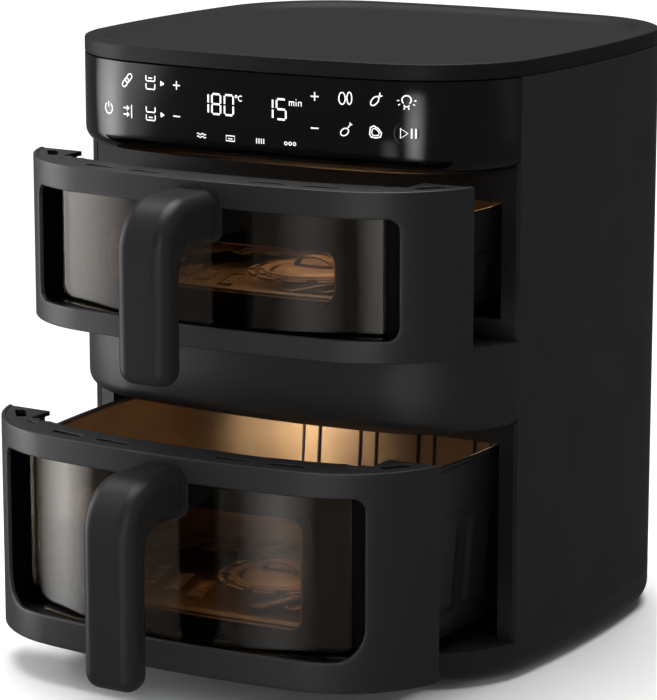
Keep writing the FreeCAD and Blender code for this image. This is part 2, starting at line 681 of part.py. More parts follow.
def make_air_unit(tier, levels):
    """Guard, heater, dome, fan on its shaft, motor, lamp, probe and switch of one tier."""
    seat = f"({levels['ceiling']} + sheet)"
    make_guard(tier, seat)
    low = f"({seat} + sheet)"
    top = f"({low} + dome_height)"
    middle = ("0", "air_centre")
    heater_level = f"({low} + heater_drop)"
    probe_level = f"({low} + fan_rise + fan_height / 2)"

    shell = fuse(f"{tier}_dome_blank", rod(f"{tier}_dome_drum", "dome_radius", "z", low, top, middle),
                 rod(f"{tier}_dome_rim", "dome_flange", "z", low, f"{low} + sheet", middle))
    hollow = rod(f"{tier}_dome_hollow", "dome_radius - sheet", "z", f"{low} - sheet", f"{top} - sheet", middle)
    eye = rod(f"{tier}_dome_eye", "shaft_radius + 4 * screw_play", "z", f"{top} - 2 * sheet", f"{top} + sheet", middle)
    leg_holes = [
        rod(f"{tier}_leg_hole{side}", "heater_tube + screw_play", "y", "air_centre", "air_centre + dome_flange",
            (f"{side} * 3 * heater_tube", heater_level)) for side in (1, -1)
    ]
    probe_hole = rod(f"{tier}_probe_hole", "probe_radius + screw_play", "x", "-dome_flange", "-fan_radius",
                     ("air_centre", probe_level))
    keep(f"{tier}_air_dome", cut(f"{tier}_dome", shell, hollow, eye, probe_hole, *leg_holes))

    rings = []
    for name, radius in (("outer", "heater_radius"), ("inner", "heater_inner")):
        ring = doc.addObject("Part::Torus", f"{tier}_heater_{name}")
        ring.setExpression("Radius1", cells(radius))
        ring.setExpression("Radius2", cells("heater_tube"))
        ring.setExpression("Placement.Base.y", cells("air_centre"))
        ring.setExpression("Placement.Base.z", cells(heater_level))
        rings.append(ring)
    legs = [
        rod(f"{tier}_heater_leg{side}", "heater_tube", "y", "heater_inner + air_centre",
            "air_centre + dome_radius + 2 * heater_tube",
            (f"{side} * 3 * heater_tube", heater_level)) for side in (1, -1)
    ]
    keep(f"{tier}_heater", fuse(f"{tier}_coil", *rings, *legs))

    fan_low = f"({low} + fan_rise)"
    fan_top = f"({fan_low} + fan_height)"
    hub = rod(f"{tier}_fan_hub", "fan_hub", "z", fan_low, fan_top, middle)
    plate = rod(f"{tier}_fan_plate", "fan_radius", "z", f"{fan_top} - sheet", fan_top, middle)
    blades = []
    for number in range(FAN_BLADES):
        blade = doc.addObject("Part::Box", f"{tier}_fan_blade{number}")
        blade.Placement = Placement(Vector(), Rotation(Vector(0, 0, 1), number * 360 / FAN_BLADES))
        blade.setExpression("Length", cells("fan_radius"))
        blade.setExpression("Width", cells("fan_blade"))
        blade.setExpression("Height", cells("fan_height - sheet / 2"))
        blade.setExpression("Placement.Base.y", cells("air_centre"))
        blade.setExpression("Placement.Base.z", cells(fan_low))
        blades.append(blade)
    eye = rod(f"{tier}_fan_eye", "shaft_radius", "z", f"{fan_low} - overcut", f"{fan_top} + overcut", middle)
    keep(f"{tier}_fan", cut(f"{tier}_impeller", fuse(f"{tier}_fan_blank", hub, plate, *blades), eye))

    shaft_top = f"({top} + shaft_in_motor)"
    keep(f"{tier}_fan_shaft", rod(f"{tier}_shaft", "shaft_radius", "z", fan_low, shaft_top, middle))
    can = rod(f"{tier}_motor_can", "motor_radius", "z", top, f"{top} + motor_height", middle)
    bore = rod(f"{tier}_motor_bore", "shaft_radius + run_clearance", "z", f"{top} - overcut",
               f"{shaft_top} + run_clearance", middle)
    keep(f"{tier}_fan_motor", cut(f"{tier}_motor", can, bore))

    spot = ("lamp_out", "-lamp_along")
    lens = rod(f"{tier}_lamp_lens", "lamp_radius", "z", f"{levels['ceiling']} - lens_drop", seat, spot)
    holder = rod(f"{tier}_lamp_holder", "lamp_holder_radius", "z", seat, f"{seat} + lamp_height", spot)
    keep(f"{tier}_bay_lamp", fuse(f"{tier}_lamp", lens, holder))

    stem = rod(f"{tier}_probe_stem", "probe_radius", "x", "-dome_radius", "-fan_radius - 4 * probe_radius",
               ("air_centre", probe_level))
    head = rod(f"{tier}_probe_head", "2 * probe_radius", "x", "-dome_radius - 3 * probe_radius", "-dome_radius",
               ("air_centre", probe_level))
    keep(f"{tier}_temperature_probe", fuse(f"{tier}_probe", stem, head))

    level = f"({levels['ceiling']} + switch_size)"
    block = box(f"{tier}_switch_block", ("switch_out", "switch_out + switch_size"),
                (FRAME_BACK, f"{FRAME_BACK} + switch_size / 2"),
                (f"{level} - switch_size / 3", f"{level} + switch_size / 3"))
    pin = rod(f"{tier}_switch_pin", "probe_radius / 2", "y", FRAME_FRONT, f"{FRAME_BACK} + overcut",
              ("switch_out + switch_size / 2", level))
    keep(f"{tier}_drawer_switch", fuse(f"{tier}_switch", block, pin))


# ---------------------------------------------------------------- drawers
def pulled(tier, label, piece):
    """Keep a drawer piece, drawn out of its bay by the tier's pull."""
    piece.setExpression("Placement.Base.y", cells(f"-{tier}_pull"))
    return keep(f"{tier}_{label}", piece)


def deck_slots(tier, high):
    """Short slots through the top deck, along the bow of the front."""
    slots = []
    reach = "(front_bow - slot_inset + slot_width / 2)"
    for number, turn in enumerate(DECK_SLOT_TURNS):
        slot = doc.addObject("Part::Box", f"{tier}_deck_slot{number}")
        slot.Placement = Placement(Vector(), Rotation(Vector(0, 0, 1), turn))
        slot.setExpression("Length", cells("slot_length"))
        slot.setExpression("Width", cells("slot_width"))
        slot.setExpression("Height", cells("3 * deck"))
        sine, cosine = f"sin({turn} deg)", f"cos({turn} deg)"
        slot.setExpression("Placement.Base.x", cells(f"-slot_length / 2 * {cosine} + {reach} * {sine}"))
        slot.setExpression("Placement.Base.y", cells(
            f"front_bow - front_reach - slot_length / 2 * {sine} - {reach} * {cosine}"))
        slot.setExpression("Placement.Base.z", cells(f"{high} - 2 * deck"))
        slots.append(slot)
    return slots


def make_drawer_front(tier, levels):
    """Front shell with its window, the liner behind it, the bezel and both panes."""
    low, high = levels["front"]
    window_low, window_high = levels["window"]
    view_low, view_high = levels["view"]
    arm = levels["arm"]
    root_half = "(handle_half + plate_margin)"
    root_drop = "(arm_height / 2 + plate_margin / 2)"

    shell = front_moulding(f"{tier}_front", low, high, "deck", False)
    window = rounded_window(f"{tier}_window", "window_half", (FRONT, "-seam_back - wall"), window_low, window_high,
                            "window_corner", f"{tier}_window_foot")
    tab = rounded_window(f"{tier}_tab", root_half, (FRONT, "-seam_back"), f"{arm} - {root_drop}",
                         f"{arm} + arm_height", "window_corner")
    opening = cut(f"{tier}_window_hole", window, tab)
    roof = (f"{high} - 2 * deck", f"{high} + deck")
    land = common(f"{tier}_deck_opening", plan_block(f"{tier}_deck_plan", "deck_land", *roof),
                  box(f"{tier}_deck_span", ("-deck_open_half", "deck_open_half"), (FRONT, BEHIND), roof))
    foot_land = plan_block(f"{tier}_foot_plan", "deck_land", f"{low} - deck", f"{low} + 2 * deck")
    screws = [
        rod(f"{tier}_shell_screw_hole{side}", "screw_radius + screw_play", "y", FRONT, "-front_reach + 3 * wall",
            (f"{side} * handle_screw_out", f"{arm} + handle_screw_rise")) for side in (1, -1)
    ]
    slots = deck_slots(tier, high)
    pulled(tier, "drawer_front", cut(f"{tier}_front_cut", shell, opening, land, foot_land, *screws, *slots))

    inner, outer = "(liner_inset + liner_wall)", "(wall + seat_gap / 2)"
    inside = (f"({low} + deck)", f"({high} - deck)")
    past = (f"{inside[0]} - overcut", f"{inside[1]} + overcut")
    skin = cut(f"{tier}_liner_ring", plan_block(f"{tier}_liner_outer", "liner_inset", *inside),
               plan_block(f"{tier}_liner_inner", inner, *past))
    ears = cut(f"{tier}_liner_ears", plan_block(f"{tier}_ear_outer", outer, *inside),
               plan_block(f"{tier}_ear_inner", inner, *past))
    ear_span = box(f"{tier}_ear_span", WIDE, (f"{SEAM} - liner_wall - seat_gap", f"{SEAM} - seat_gap"), inside)
    wall_span = box(f"{tier}_wall_span", WIDE, (FRONT, f"{SEAM} - seat_gap"), inside)
    liner = fuse(f"{tier}_liner_blank", common(f"{tier}_liner_wall", skin, wall_span),
                 common(f"{tier}_liner_back", ears, ear_span))
    view = rounded_window(f"{tier}_view", "view_half", (FRONT, "-front_reach + 2 * liner_inset"), view_low, view_high,
                          "view_corner")
    pulled(tier, "drawer_liner", cut(f"{tier}_liner", liner, view))
    pane = rounded_window(f"{tier}_pane", "view_half - seat_gap", (FRONT, "-front_reach + 2 * liner_inset"),
                          f"{view_low} + seat_gap", f"{view_high} - seat_gap", "view_corner")
    pulled(tier, "inner_glass", common(f"{tier}_inner_pane", skin, pane))

    gap_low, gap_high = f"({window_low} - lens_lap - seat_gap)", f"({window_high} + lens_lap + seat_gap)"
    ring = cut(f"{tier}_bezel_ring", plan_block(f"{tier}_bezel_outer", "wall + seat_gap / 2", *inside),
               plan_block(f"{tier}_bezel_inner", "liner_inset - seat_gap / 2", *past))
    sleeve = rounded_window(f"{tier}_sleeve", "window_half + seat_gap + bezel_wall", (FRONT, "-seam_back - 2 * wall"),
                            f"{gap_low} - bezel_wall", f"{gap_high} + bezel_wall", "window_corner + bezel_wall")
    mouth = rounded_window(f"{tier}_mouth", "window_half + seat_gap", (f"{FRONT} - overcut", "-seam_back - wall"),
                           gap_low, gap_high, "window_corner")
    pulled(tier, "window_bezel", cut(f"{tier}_bezel", common(f"{tier}_bezel_blank", ring, sleeve), mouth))

    lens_front = "(-front_reach + wall + seat_gap)"
    axis_back = f"({lens_front} + lens_bow)"
    lens_low, lens_high = f"({window_low} - lens_lap)", f"({window_high} + lens_lap)"
    drum = rod(f"{tier}_lens_drum", "lens_bow", "z", lens_low, lens_high, ("0", axis_back))
    core = rod(f"{tier}_lens_core", "lens_bow - lens_thick", "z", f"{lens_low} - overcut",
               f"{lens_high} + overcut", ("0", axis_back))
    span = box(f"{tier}_lens_span", ("-lens_half", "lens_half"), (FRONT, "0"), (lens_low, lens_high))
    pulled(tier, "window_glass", common(f"{tier}_lens", cut(f"{tier}_lens_shell", drum, core), span))


def make_handle(tier, levels):
    """Bent handle in two halves on its root plate, with two screws from inside the front."""
    arm, bottom = levels["arm"], levels["grip_foot"]
    root = "(-front_reach - plate_depth)"
    out = "(-front_reach - grip_reach)"
    grip_back = f"({out} + grip_depth)"
    top, under = f"({arm} + arm_height / 2)", f"({arm} - arm_height / 2)"
    corners = [(root, top), (out, top), (out, bottom), (grip_back, bottom), (grip_back, under), (root, under)]
    body = polygon_pad(f"{tier}_handle", "YZ_Plane", corners, "2 * handle_half", "0", True)
    doc.recompute()
    bounds = body.Shape.BoundBox
    across = lambda edge: abs(direction(edge).x) > 0.99
    at = lambda edge: edge.CenterOfMass
    bend = lambda edge: across(edge) and at(edge).y < bounds.YMin + 1 and at(edge).z > bounds.ZMax - 1
    crook = lambda edge: across(edge) and bounds.YMin + 1 < at(edge).y < bounds.YMax - 1 and at(edge).z > bounds.ZMin + 1
    ends = lambda edge: across(edge) and at(edge).z < bounds.ZMin + 1
    rim = lambda edge: abs(abs(at(edge).x) - bounds.XMax) < 0.01 and edge.BoundBox.YMin < bounds.YMax - 0.01
    roof = lambda edge: rim(edge) and edge.BoundBox.XLength < 0.01
    round_edges(body, bend, "bend_outer")
    round_edges(body, crook, "bend_inner")
    round_edges(body, ends, "min(grip_end; grip_depth / 2 - seat_gap)")
    round_edges(body, roof, "min(grip_edge; grip_depth / 2 - overcut)")

    split = polygon_pad(f"{tier}_handle_split", "YZ_Plane",
                        [(f"{out} + handle_split", arm), (f"{out} + handle_split", f"{bottom} - overcut"),
                         ("-front_reach", f"{bottom} - overcut"), ("-front_reach", arm)],
                        "4 * handle_half", "0", True)
    doc.recompute()
    box_edge = split.Shape.BoundBox
    corner = lambda edge: across(edge) and at(edge).y < box_edge.YMin + 1 and at(edge).z > box_edge.ZMax - 1
    round_edges(split, corner, "bend_outer - handle_split")
    spots = [(f"{side} * handle_screw_out", f"{arm} + handle_screw_rise") for side in (1, -1)]
    holes = [
        rod(f"{tier}_handle_hole{number}", "screw_radius + screw_play", "y", f"{root} - screw_length - screw_end_gap",
            "-front_reach + overcut", spot)
        for number, spot in enumerate(spots)
    ]
    pulled(tier, "handle_shell", cut(f"{tier}_handle_outer", body, split, *holes))
    pulled(tier, "handle_back", common(f"{tier}_handle_inner", body, split))

    root_half = "(handle_half + plate_margin / 2)"
    plate = rounded_window(f"{tier}_handle_root", root_half, (root, "-front_reach - screw_play / 2"),
                           f"{under} - plate_margin / 4", f"{top} + plate_margin / 4", "window_corner")
    pulled(tier, "handle_plate", cut(f"{tier}_handle_plate_drilled", plate, *holes))

    inside = "(-front_reach + wall + seat_gap)"
    screws = []
    for number, spot in enumerate(spots):
        head = rod(f"{tier}_screw_head{number}", "screw_head", "y", inside, f"{inside} + screw_head_height", spot)
        shank = rod(f"{tier}_screw_shank{number}", "screw_radius", "y", f"{root} - screw_length", inside, spot)
        screws.append(fuse(f"{tier}_screw{number}", head, shank))
    pulled(tier, "handle_screws", fuse(f"{tier}_screws", *screws))


def make_basket(tier, levels):
    """Coated pan with leaning walls and a view opening, its crisper plate and bumpers."""
    foot, rim = levels["foot"], levels["rim"]
    outer_foot = "(basket_inset + basket_draft)"
    rear = "(basket_rear + basket_inset)"
    pan = drafted_block(f"{tier}_pan", outer_foot, "basket_inset", foot, rim, rear, rear)
    hollow = drafted_block(f"{tier}_pan_hollow", f"{outer_foot} + basket_wall", "basket_inset + basket_wall",
                           f"{foot} + basket_wall", f"{rim} + rim_overcut", rear, rear)
    view = rounded_window(f"{tier}_basket_view", "view_half", (FRONT, "-seam_back - 2 * wall"), *levels["view"],
                          "view_corner")
    pulled(tier, "basket", cut(f"{tier}_basket_shell", pan, hollow, view))

    plate_low = f"({foot} + basket_wall + {tier}_plate_rise)"
    plate = plan_block(f"{tier}_plate", f"{outer_foot} + basket_wall + plate_play", plate_low,
                       f"{plate_low} + plate_thick", rear)
    doc.recompute()
    slots_round(plate, f"{tier}_plate_slot", f"{plate_low} + plate_thick", "-plate_centre", "plate_slot_start",
                "plate_slot_start + plate_slot_length", "plate_slot", "2 * plate_thick", PLATE_SLOTS)
    pulled(tier, "crisper_plate", plate)
    bumpers = [
        rod(f"{tier}_bumper{number}", "bumper_radius", "z", f"{foot} + basket_wall", plate_low,
            (f"{x} * bumper_out", f"-plate_centre + {y} * bumper_along"))
        for number, (x, y) in enumerate([(1, 1), (1, -1), (-1, 1), (-1, -1)])
    ]
    pulled(tier, "plate_bumpers", fuse(f"{tier}_bumpers", *bumpers))


make_base(make_feet())
make_wrap()
make_rear_fittings()
make_cap()
make_frame()
make_front_fixed()
make_boards()
for tier, levels in TIERS.items():
    make_bay(tier, levels)
    make_air_unit(tier, levels)
    make_drawer_front(tier, levels)
    make_handle(tier, levels)
    make_basket(tier, levels)
doc.recompute()

# ---------------------------------------------------------------- checks and files
broken = [item.Name for item in doc.Objects if {"Invalid", "Error"} & set(item.State)]
if broken:
    raise RuntimeError(f"features failed: {broken}")
for label, piece in nodes.items():
    if piece.Shape.isNull() or not piece.Shape.isValid() or not piece.Shape.Solids:
        raise RuntimeError(f"{label} has no valid solid")
os.makedirs("parts", exist_ok=True)
for label, piece in nodes.items():
    piece.Shape.exportStep(f"parts/{label}.step")
    print(label, len(piece.Shape.Solids), round(piece.Shape.Volume, 1))
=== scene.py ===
import math

import bmesh
import bpy
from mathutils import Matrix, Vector


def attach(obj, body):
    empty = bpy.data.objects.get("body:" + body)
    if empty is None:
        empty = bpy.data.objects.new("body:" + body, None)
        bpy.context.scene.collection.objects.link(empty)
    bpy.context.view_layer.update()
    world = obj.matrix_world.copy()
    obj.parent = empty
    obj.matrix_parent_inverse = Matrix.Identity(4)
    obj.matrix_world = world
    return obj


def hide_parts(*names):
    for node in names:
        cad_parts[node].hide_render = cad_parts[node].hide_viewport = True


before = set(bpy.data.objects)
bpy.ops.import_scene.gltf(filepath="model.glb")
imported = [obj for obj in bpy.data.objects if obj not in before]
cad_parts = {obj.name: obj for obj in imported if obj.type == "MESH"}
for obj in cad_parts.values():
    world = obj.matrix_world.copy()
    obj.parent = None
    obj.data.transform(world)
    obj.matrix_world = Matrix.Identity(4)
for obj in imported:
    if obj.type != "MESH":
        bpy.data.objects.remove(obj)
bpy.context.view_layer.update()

# Lengths are millimetres in the object's own frame, and turn to metres when a mesh is made.
MM = 0.001

# ---------------------------------------------------------------- studio
# A pale table under plain soft light, seen through a long lens from the front, the right and a
# little above. None of it belongs to the object.


def linear(tone):
    """The linear colour of an sRGB hex value."""
    parts = [int(tone[place:place + 2], 16) / 255 for place in (1, 3, 5)]
    return tuple(part / 12.92 if part <= 0.04045 else ((part + 0.055) / 1.055) ** 2.4
                 for part in parts) + (1.0,)


def add(tree, kind, sockets=None, **words):
    """Add a shader node: words are its own settings; a socket takes a value or a (node, output) link."""
    node = tree.nodes.new(f"ShaderNode{kind}")
    for word, value in words.items():
        setattr(node, word, value)
    for socket, value in (sockets or {}).items():
        if isinstance(value, tuple) and isinstance(value[0], bpy.types.Node):
            tree.links.new(value[0].outputs[value[1]], node.inputs[socket])
        else:
            node.inputs[socket].default_value = value
    return node


def blank_finish(name):
    """A material of one name, its empty node tree and its output."""
    finish = bpy.data.materials.new(name)
    finish.use_nodes = True
    finish.node_tree.nodes.clear()
    return finish, finish.node_tree, finish.node_tree.nodes.new("ShaderNodeOutputMaterial")


def grained(name, tone, roughness, pitch, relief, spread=0.08, **sockets):
    """A finish with a fine grain, its pitch and relief in millimetres, and gloss uneven over 40 mm.

    The tone is mottled down to four fifths, spread is how far the roughness strays, and a finish
    with no relief keeps only the uneven tone and gloss.
    """
    finish, tree, output = blank_finish(name)
    place = add(tree, "TexCoord")
    grain = add(tree, "TexNoise", {"Vector": (place, "Object"), "Scale": 1 / (pitch * MM), "Detail": 2.0})
    cloud = add(tree, "TexNoise", {"Vector": (place, "Object"), "Scale": 1 / (40 * MM), "Detail": 4.0})
    gloss = add(tree, "MapRange", {"Value": (cloud, "Fac"), "From Min": 0.3, "From Max": 0.7,
                                   "To Min": roughness - spread / 2, "To Max": roughness + spread / 2})
    lift = add(tree, "Bump", {"Height": (grain, "Fac"), "Distance": relief * MM,
                              "Strength": 1.0 if relief else 0.0})
    darker = tuple(part * 0.8 for part in linear(tone)[:3]) + (1.0,)
    shade = add(tree, "Mix", data_type="RGBA")
    tree.links.new(cloud.outputs["Fac"], shade.inputs["Factor"])
    for socket in shade.inputs:
        if socket.type == "RGBA" and socket.name in ("A", "B"):
            socket.default_value = linear(tone) if socket.name == "A" else darker
    colour = next(place for place, item in enumerate(shade.outputs) if item.type == "RGBA")
    paint = add(tree, "BsdfPrincipled", {"Base Color": (shade, colour), "Roughness": (gloss, "Result"),
                                         "Normal": (lift, "Normal"), **sockets})
    tree.links.new(paint.outputs[0], output.inputs["Surface"])
    return finish


# paint on board, rolled: an even near-white with the faintest fleck
table_paint, tree, output = blank_finish("matt_painted_table")
fleck = add(tree, "TexNoise", {"Scale": 300.0, "Detail": 2.0})
paler = add(tree, "ValToRGB", {"Fac": (fleck, "Fac")})
paler.color_ramp.elements[0].color = linear("#F7F7F7")
paler.color_ramp.elements[1].color = linear("#FAFAFA")
paint = add(tree, "BsdfPrincipled", {"Base Color": (paler, "Color"), "Roughness": 0.9})
tree.links.new(paint.outputs[0], output.inputs["Surface"])
table_skin = bpy.data.meshes.new("table")
table_skin.from_pydata([(-6, -6, 0), (6, -6, 0), (6, 8, 0), (-6, 8, 0)], [], [(0, 1, 2, 3)])
table = bpy.data.objects.new("table", table_skin)
bpy.context.collection.objects.link(table)
table.data.materials.append(table_paint)
# as if dark cards stood round the set: gloss shows the softboxes and not the bright table
table.visible_glossy = False

LENS_PLACE = Vector((0.988241, -1.719429, 0.591362))
LENS_TURN = math.radians(30.728)
LENS_DROP = math.radians(12.111)
LENS_LENGTH = 166.6
camera = bpy.data.objects.new("camera", bpy.data.cameras.new("camera"))
camera.data.sensor_width = 36.0
camera.data.lens = LENS_LENGTH
camera.data.clip_start = 0.05
camera.location = LENS_PLACE
camera.rotation_euler = (math.pi / 2 - LENS_DROP, 0, LENS_TURN)
bpy.context.collection.objects.link(camera)
bpy.context.scene.camera = camera

world = bpy.data.worlds.new("studio")
bpy.context.scene.world = world
world.use_nodes = True
world.node_tree.nodes.clear()
# a white backdrop to the lens, and a dim room to everything else
ray = add(world.node_tree, "LightPath")
seen = add(world.node_tree, "Background", {"Color": linear("#FFFFFF"), "Strength": 1.0})
dim = add(world.node_tree, "Background", {"Color": linear("#FFFFFF"), "Strength": 0.12})
pick = add(world.node_tree, "MixShader", {0: (ray, "Is Camera Ray"), 1: (dim, 0), 2: (seen, 0)})
sky = world.node_tree.nodes.new("ShaderNodeOutputWorld")
world.node_tree.links.new(pick.outputs[0], sky.inputs["Surface"])
bpy.context.scene.view_settings.view_transform = "Standard"

# each softbox: its place, what it faces, its width and height, its power and its tone; the low
# ones and the near one show in the ends of the window panes
SOFTBOXES = {
    "left_softbox": ((-0.64, -0.35, 0.34), (0, -0.14, 0.24), (0.60, 0.68), 8.0, "#FFFFFF"),
    "low_left_softbox": ((-0.42, -0.375, 0.02), (-0.10, -0.20, 0.08), (0.18, 0.20), 1.0, "#FFFFFF"),
    "low_right_softbox": ((0.05, -0.80, -0.02), (0.1, -0.20, 0.12), (0.26, 0.6), 0.8, "#FFFFFF"),
    "near_right_softbox": ((0.06, -0.56, 0.035), (0.11, -0.20, 0.09), (0.16, 0.12), 0.1, "#FFFFFF"),
    "front_softbox": ((0.32, -0.78, 0.32), (0.08, 0, 0.16), (0.26, 0.62), 2.6, "#FFFFFF"),
    "right_softbox": ((2.0, 0.5, 0.9), (0, 0, 0.2), (1.2, 1.8), 0.8, "#FFFFFF"),
}


def set_lamp(name, place, target, size, power, tone, spread=180):
    """A rectangular soft light that faces a point, fades to its edges and isn't seen itself."""
    lamp = bpy.data.lights.new(name, "AREA")
    lamp.shape = "RECTANGLE"
    lamp.size, lamp.size_y = size
    lamp.energy = power
    lamp.spread = math.radians(spread)
    lamp.use_nodes = True
    lamp.node_tree.nodes.clear()
    across = add(lamp.node_tree, "NewGeometry")
    centred = add(lamp.node_tree, "Mapping", {"Vector": (across, "Parametric"),
                                              "Location": (-1, -0.5, 0), "Scale": (2, 1, 1)})
    fade = add(lamp.node_tree, "TexGradient", {"Vector": (centred, "Vector")}, gradient_type="SPHERICAL")
    cloth = add(lamp.node_tree, "Emission", {"Color": linear(tone), "Strength": (fade, "Fac")})
    face = lamp.node_tree.nodes.new("ShaderNodeOutputLight")
    lamp.node_tree.links.new(cloth.outputs[0], face.inputs["Surface"])
    stand = bpy.data.objects.new(name, lamp)
    stand.location = place
    stand.rotation_euler = (Vector(target) - Vector(place)).to_track_quat("-Z", "Y").to_euler()
    stand.visible_camera = False
    bpy.context.collection.objects.link(stand)


for name, setting in SOFTBOXES.items():
    set_lamp(name, *setting)
overhead = bpy.data.objects.new("overhead_light", bpy.data.lights.new("overhead_light", "SUN"))
overhead.data.energy = 3.7
overhead.data.angle = math.radians(50)
overhead.rotation_euler = (math.radians(-12), math.radians(-6), 0)
bpy.context.collection.objects.link(overhead)

# ---------------------------------------------------------------- rubber feet and their screws
# Four black rubber pads, moulded, each held up into the base by one zinc-plated screw.


def dress(node, finish, width=0):
    """Give a carried-over piece its finish, and round its sharp edges as its mould or press does."""
    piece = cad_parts[node]
    piece.data.materials.clear()
    piece.data.materials.append(finish)
    if width:
        bevel = piece.modifiers.new("edge_rounds", "BEVEL")
        bevel.width = width * MM
        bevel.segments = 2
        bevel.limit_method = "ANGLE"
        bevel.angle_limit = math.radians(35)
        bevel.harden_normals = False


# natural rubber, moulded: dull, dusty black with no clear highlight
rubber = grained("moulded_black_rubber", "#171717", 0.8, 1.2, 0.03)
# steel, zinc plated: cool grey metal with soft glints
plated = grained("zinc_plated_steel", "#9A9C9E", 0.32, 0.6, 0.01, Metallic=1.0)
dress("rubber_feet", rubber)
dress("foot_screws", plated)

# ---------------------------------------------------------------- base tray and side skin
# The base tray is a large moulding of black ABS with a fine spark-eroded grain, and carries
# everything. The skin is one steel sheet bent round both sides and the back, powder-coated black.

# ABS, moulded in a spark-eroded tool: even black with a fine grain that spreads each highlight; the
# real grain is about 0.2 mm, drawn three times coarser so that it shows
matt_abs = grained("spark_eroded_abs", "#1A1A1B", 0.46, 0.7, 0.012, **{"Specular IOR Level": 0.5})
dress("base_tray", matt_abs, 0.5)
# sheet steel, powder-coated: a little greyer than the ABS, with hardly any sheen on its long sides
powder_coat = grained("powder_coated_steel", "#242425", 0.5, 0.7, 0.012, **{"Specular IOR Level": 0.25})
dress("side_wrap", powder_coat, 0.5)
dress("cord_inlet", rubber, 0.3)
dress("rear_vent_grille", matt_abs, 0.3)

# ---------------------------------------------------------------- top cap
# A single ABS moulding on top: a narrow flat rim that rolls softly down into a shallow tray.

SEAM, REAR = -91.3, 149.7
# the plan's three long arcs and two corner arcs by their radii, and how far it reaches
FRONT_BOW, SIDE_BOW, REAR_BOW, FRONT_CORNER, REAR_CORNER = 635.0, 730.0, 786.0, 75.7, 80.7
FRONT_REACH, HALF_WIDTH = 151.7, 155.0


def crossing(first, first_radius, second, second_radius):
    """Where two circles cross, taking the crossing with the larger X."""
    across = second - first
    gap = across.length
    along = (gap**2 + first_radius**2 - second_radius**2) / (2 * gap)
    aside = math.sqrt(first_radius**2 - along**2)
    unit = across / gap
    normal = Vector((-unit.y, unit.x))
    return max((first + unit * along + normal * aside * side for side in (1, -1)),
               key=lambda spot: spot.x)


def outline(rear=REAR, step=2.5):
    """Places and outward directions round the housing's plan, from the middle of the back by the left."""
    front = Vector((0, FRONT_BOW - FRONT_REACH))
    back = Vector((0, rear - REAR_BOW))
    side = Vector((HALF_WIDTH - SIDE_BOW, 0))
    near = crossing(front, FRONT_BOW - FRONT_CORNER, side, SIDE_BOW - FRONT_CORNER)
    far = crossing(back, REAR_BOW - REAR_CORNER, side, SIDE_BOW - REAR_CORNER)

    def turn(centre, other):
        return math.atan2((centre - other).y, (centre - other).x)

    arcs = (
        (front, FRONT_BOW, -math.pi / 2, turn(near, front)),
        (near, FRONT_CORNER, turn(near, front), turn(near, side)),
        (side, SIDE_BOW, turn(near, side), turn(far, side)),
        (far, REAR_CORNER, turn(far, side), turn(far, back)),
        (back, REAR_BOW, turn(far, back), math.pi / 2),
    )
    right = []
    for centre, bow, start, end in arcs:
        count = max(2, round(bow * (end - start) / step))
        for place in range(count):
            angle = start + (end - start) * place / count
            out = Vector((math.cos(angle), math.sin(angle)))
            right.append((centre + out * bow, out))
    right.append((Vector((0, rear)), Vector((0, 1))))
    left = [(Vector((-spot.x, spot.y)), Vector((-out.x, out.y)))
            for spot, out in reversed(right)]
    return left[:-1] + right[:-1]


def front_line(back=SEAM, step=2.5):
    """The part of the outline in front of a level on Y, from left to right."""
    points = outline(step=step)
    inside = [place for place, (spot, out) in enumerate(points) if spot.y < back]
    ends = []
    for within, beyond in ((inside[0], inside[0] - 1), (inside[-1], inside[-1] + 1)):
        (spot, out), (next_spot, next_out) = points[within], points[beyond]
        share = (back - spot.y) / (next_spot.y - spot.y)
        ends.append((spot.lerp(next_spot, share), out.lerp(next_out, share).normalized()))
    return [ends[0]] + [points[place] for place in inside] + [ends[1]]


def loft(rows, loop=True, caps=True, ring=False, paint=None):
    """A skin over rows of points.

    loop closes each row, ring joins the last row to the first, caps fills the two ends, and paint
    gives each strip's finish by its place.
    """
    shape = bmesh.new()
    grid = [[shape.verts.new(Vector(spot) * MM) for spot in row] for row in rows]
    count, width = len(grid), len(grid[0])
    for place in range(count if ring else count - 1):
        near, far = grid[place], grid[(place + 1) % count]
        for step in range(width if loop else width - 1):
            beside = (step + 1) % width
            face = shape.faces.new((near[step], near[beside], far[beside], far[step]))
            face.material_index = paint(place) if paint else 0
    if caps and not ring:
        shape.faces.new(list(reversed(grid[0])))
        last = shape.faces.new(grid[-1])
        last.material_index = paint(count - 1) if paint else 0
    bmesh.ops.recalc_face_normals(shape, faces=shape.faces)
    return crisp(shape, 38)


def crisp(shape, corner):
    """Smooth shading, broken where two faces meet at more than a corner angle in degrees."""
    for edge in shape.edges:
        edge.smooth = len(edge.link_faces) == 2 and edge.calc_face_angle() < math.radians(corner)
    return shape


def piece_of(name, shapes, finishes, body, nodes=()):
    """One piece from bmesh shapes: joined, shaded and dressed, on its body in place of its CAD nodes."""
    skin = bpy.data.meshes.new(name)
    whole = bmesh.new()
    for shape in shapes:
        part = bpy.data.meshes.new(f"{name}_part")
        shape.to_mesh(part)
        shape.free()
        whole.from_mesh(part)
        bpy.data.meshes.remove(part)
    whole.to_mesh(skin)
    whole.free()
    for face in skin.polygons:
        face.use_smooth = True
    piece = bpy.data.objects.new(name, skin)
    bpy.context.collection.objects.link(piece)
    for finish in finishes:
        skin.materials.append(finish)
    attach(piece, body)
    if nodes:
        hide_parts(*nodes)


def ring_row(points, inset, level, pull=0.0):
    """The outline drawn in by an inset, at one level."""
    return [(spot.x - out.x * inset, spot.y - out.y * inset - pull, level)
            for spot, out in points]


CAP_LOW, CAP_TOP, TRAY = 357.4, 366.9, 363.4
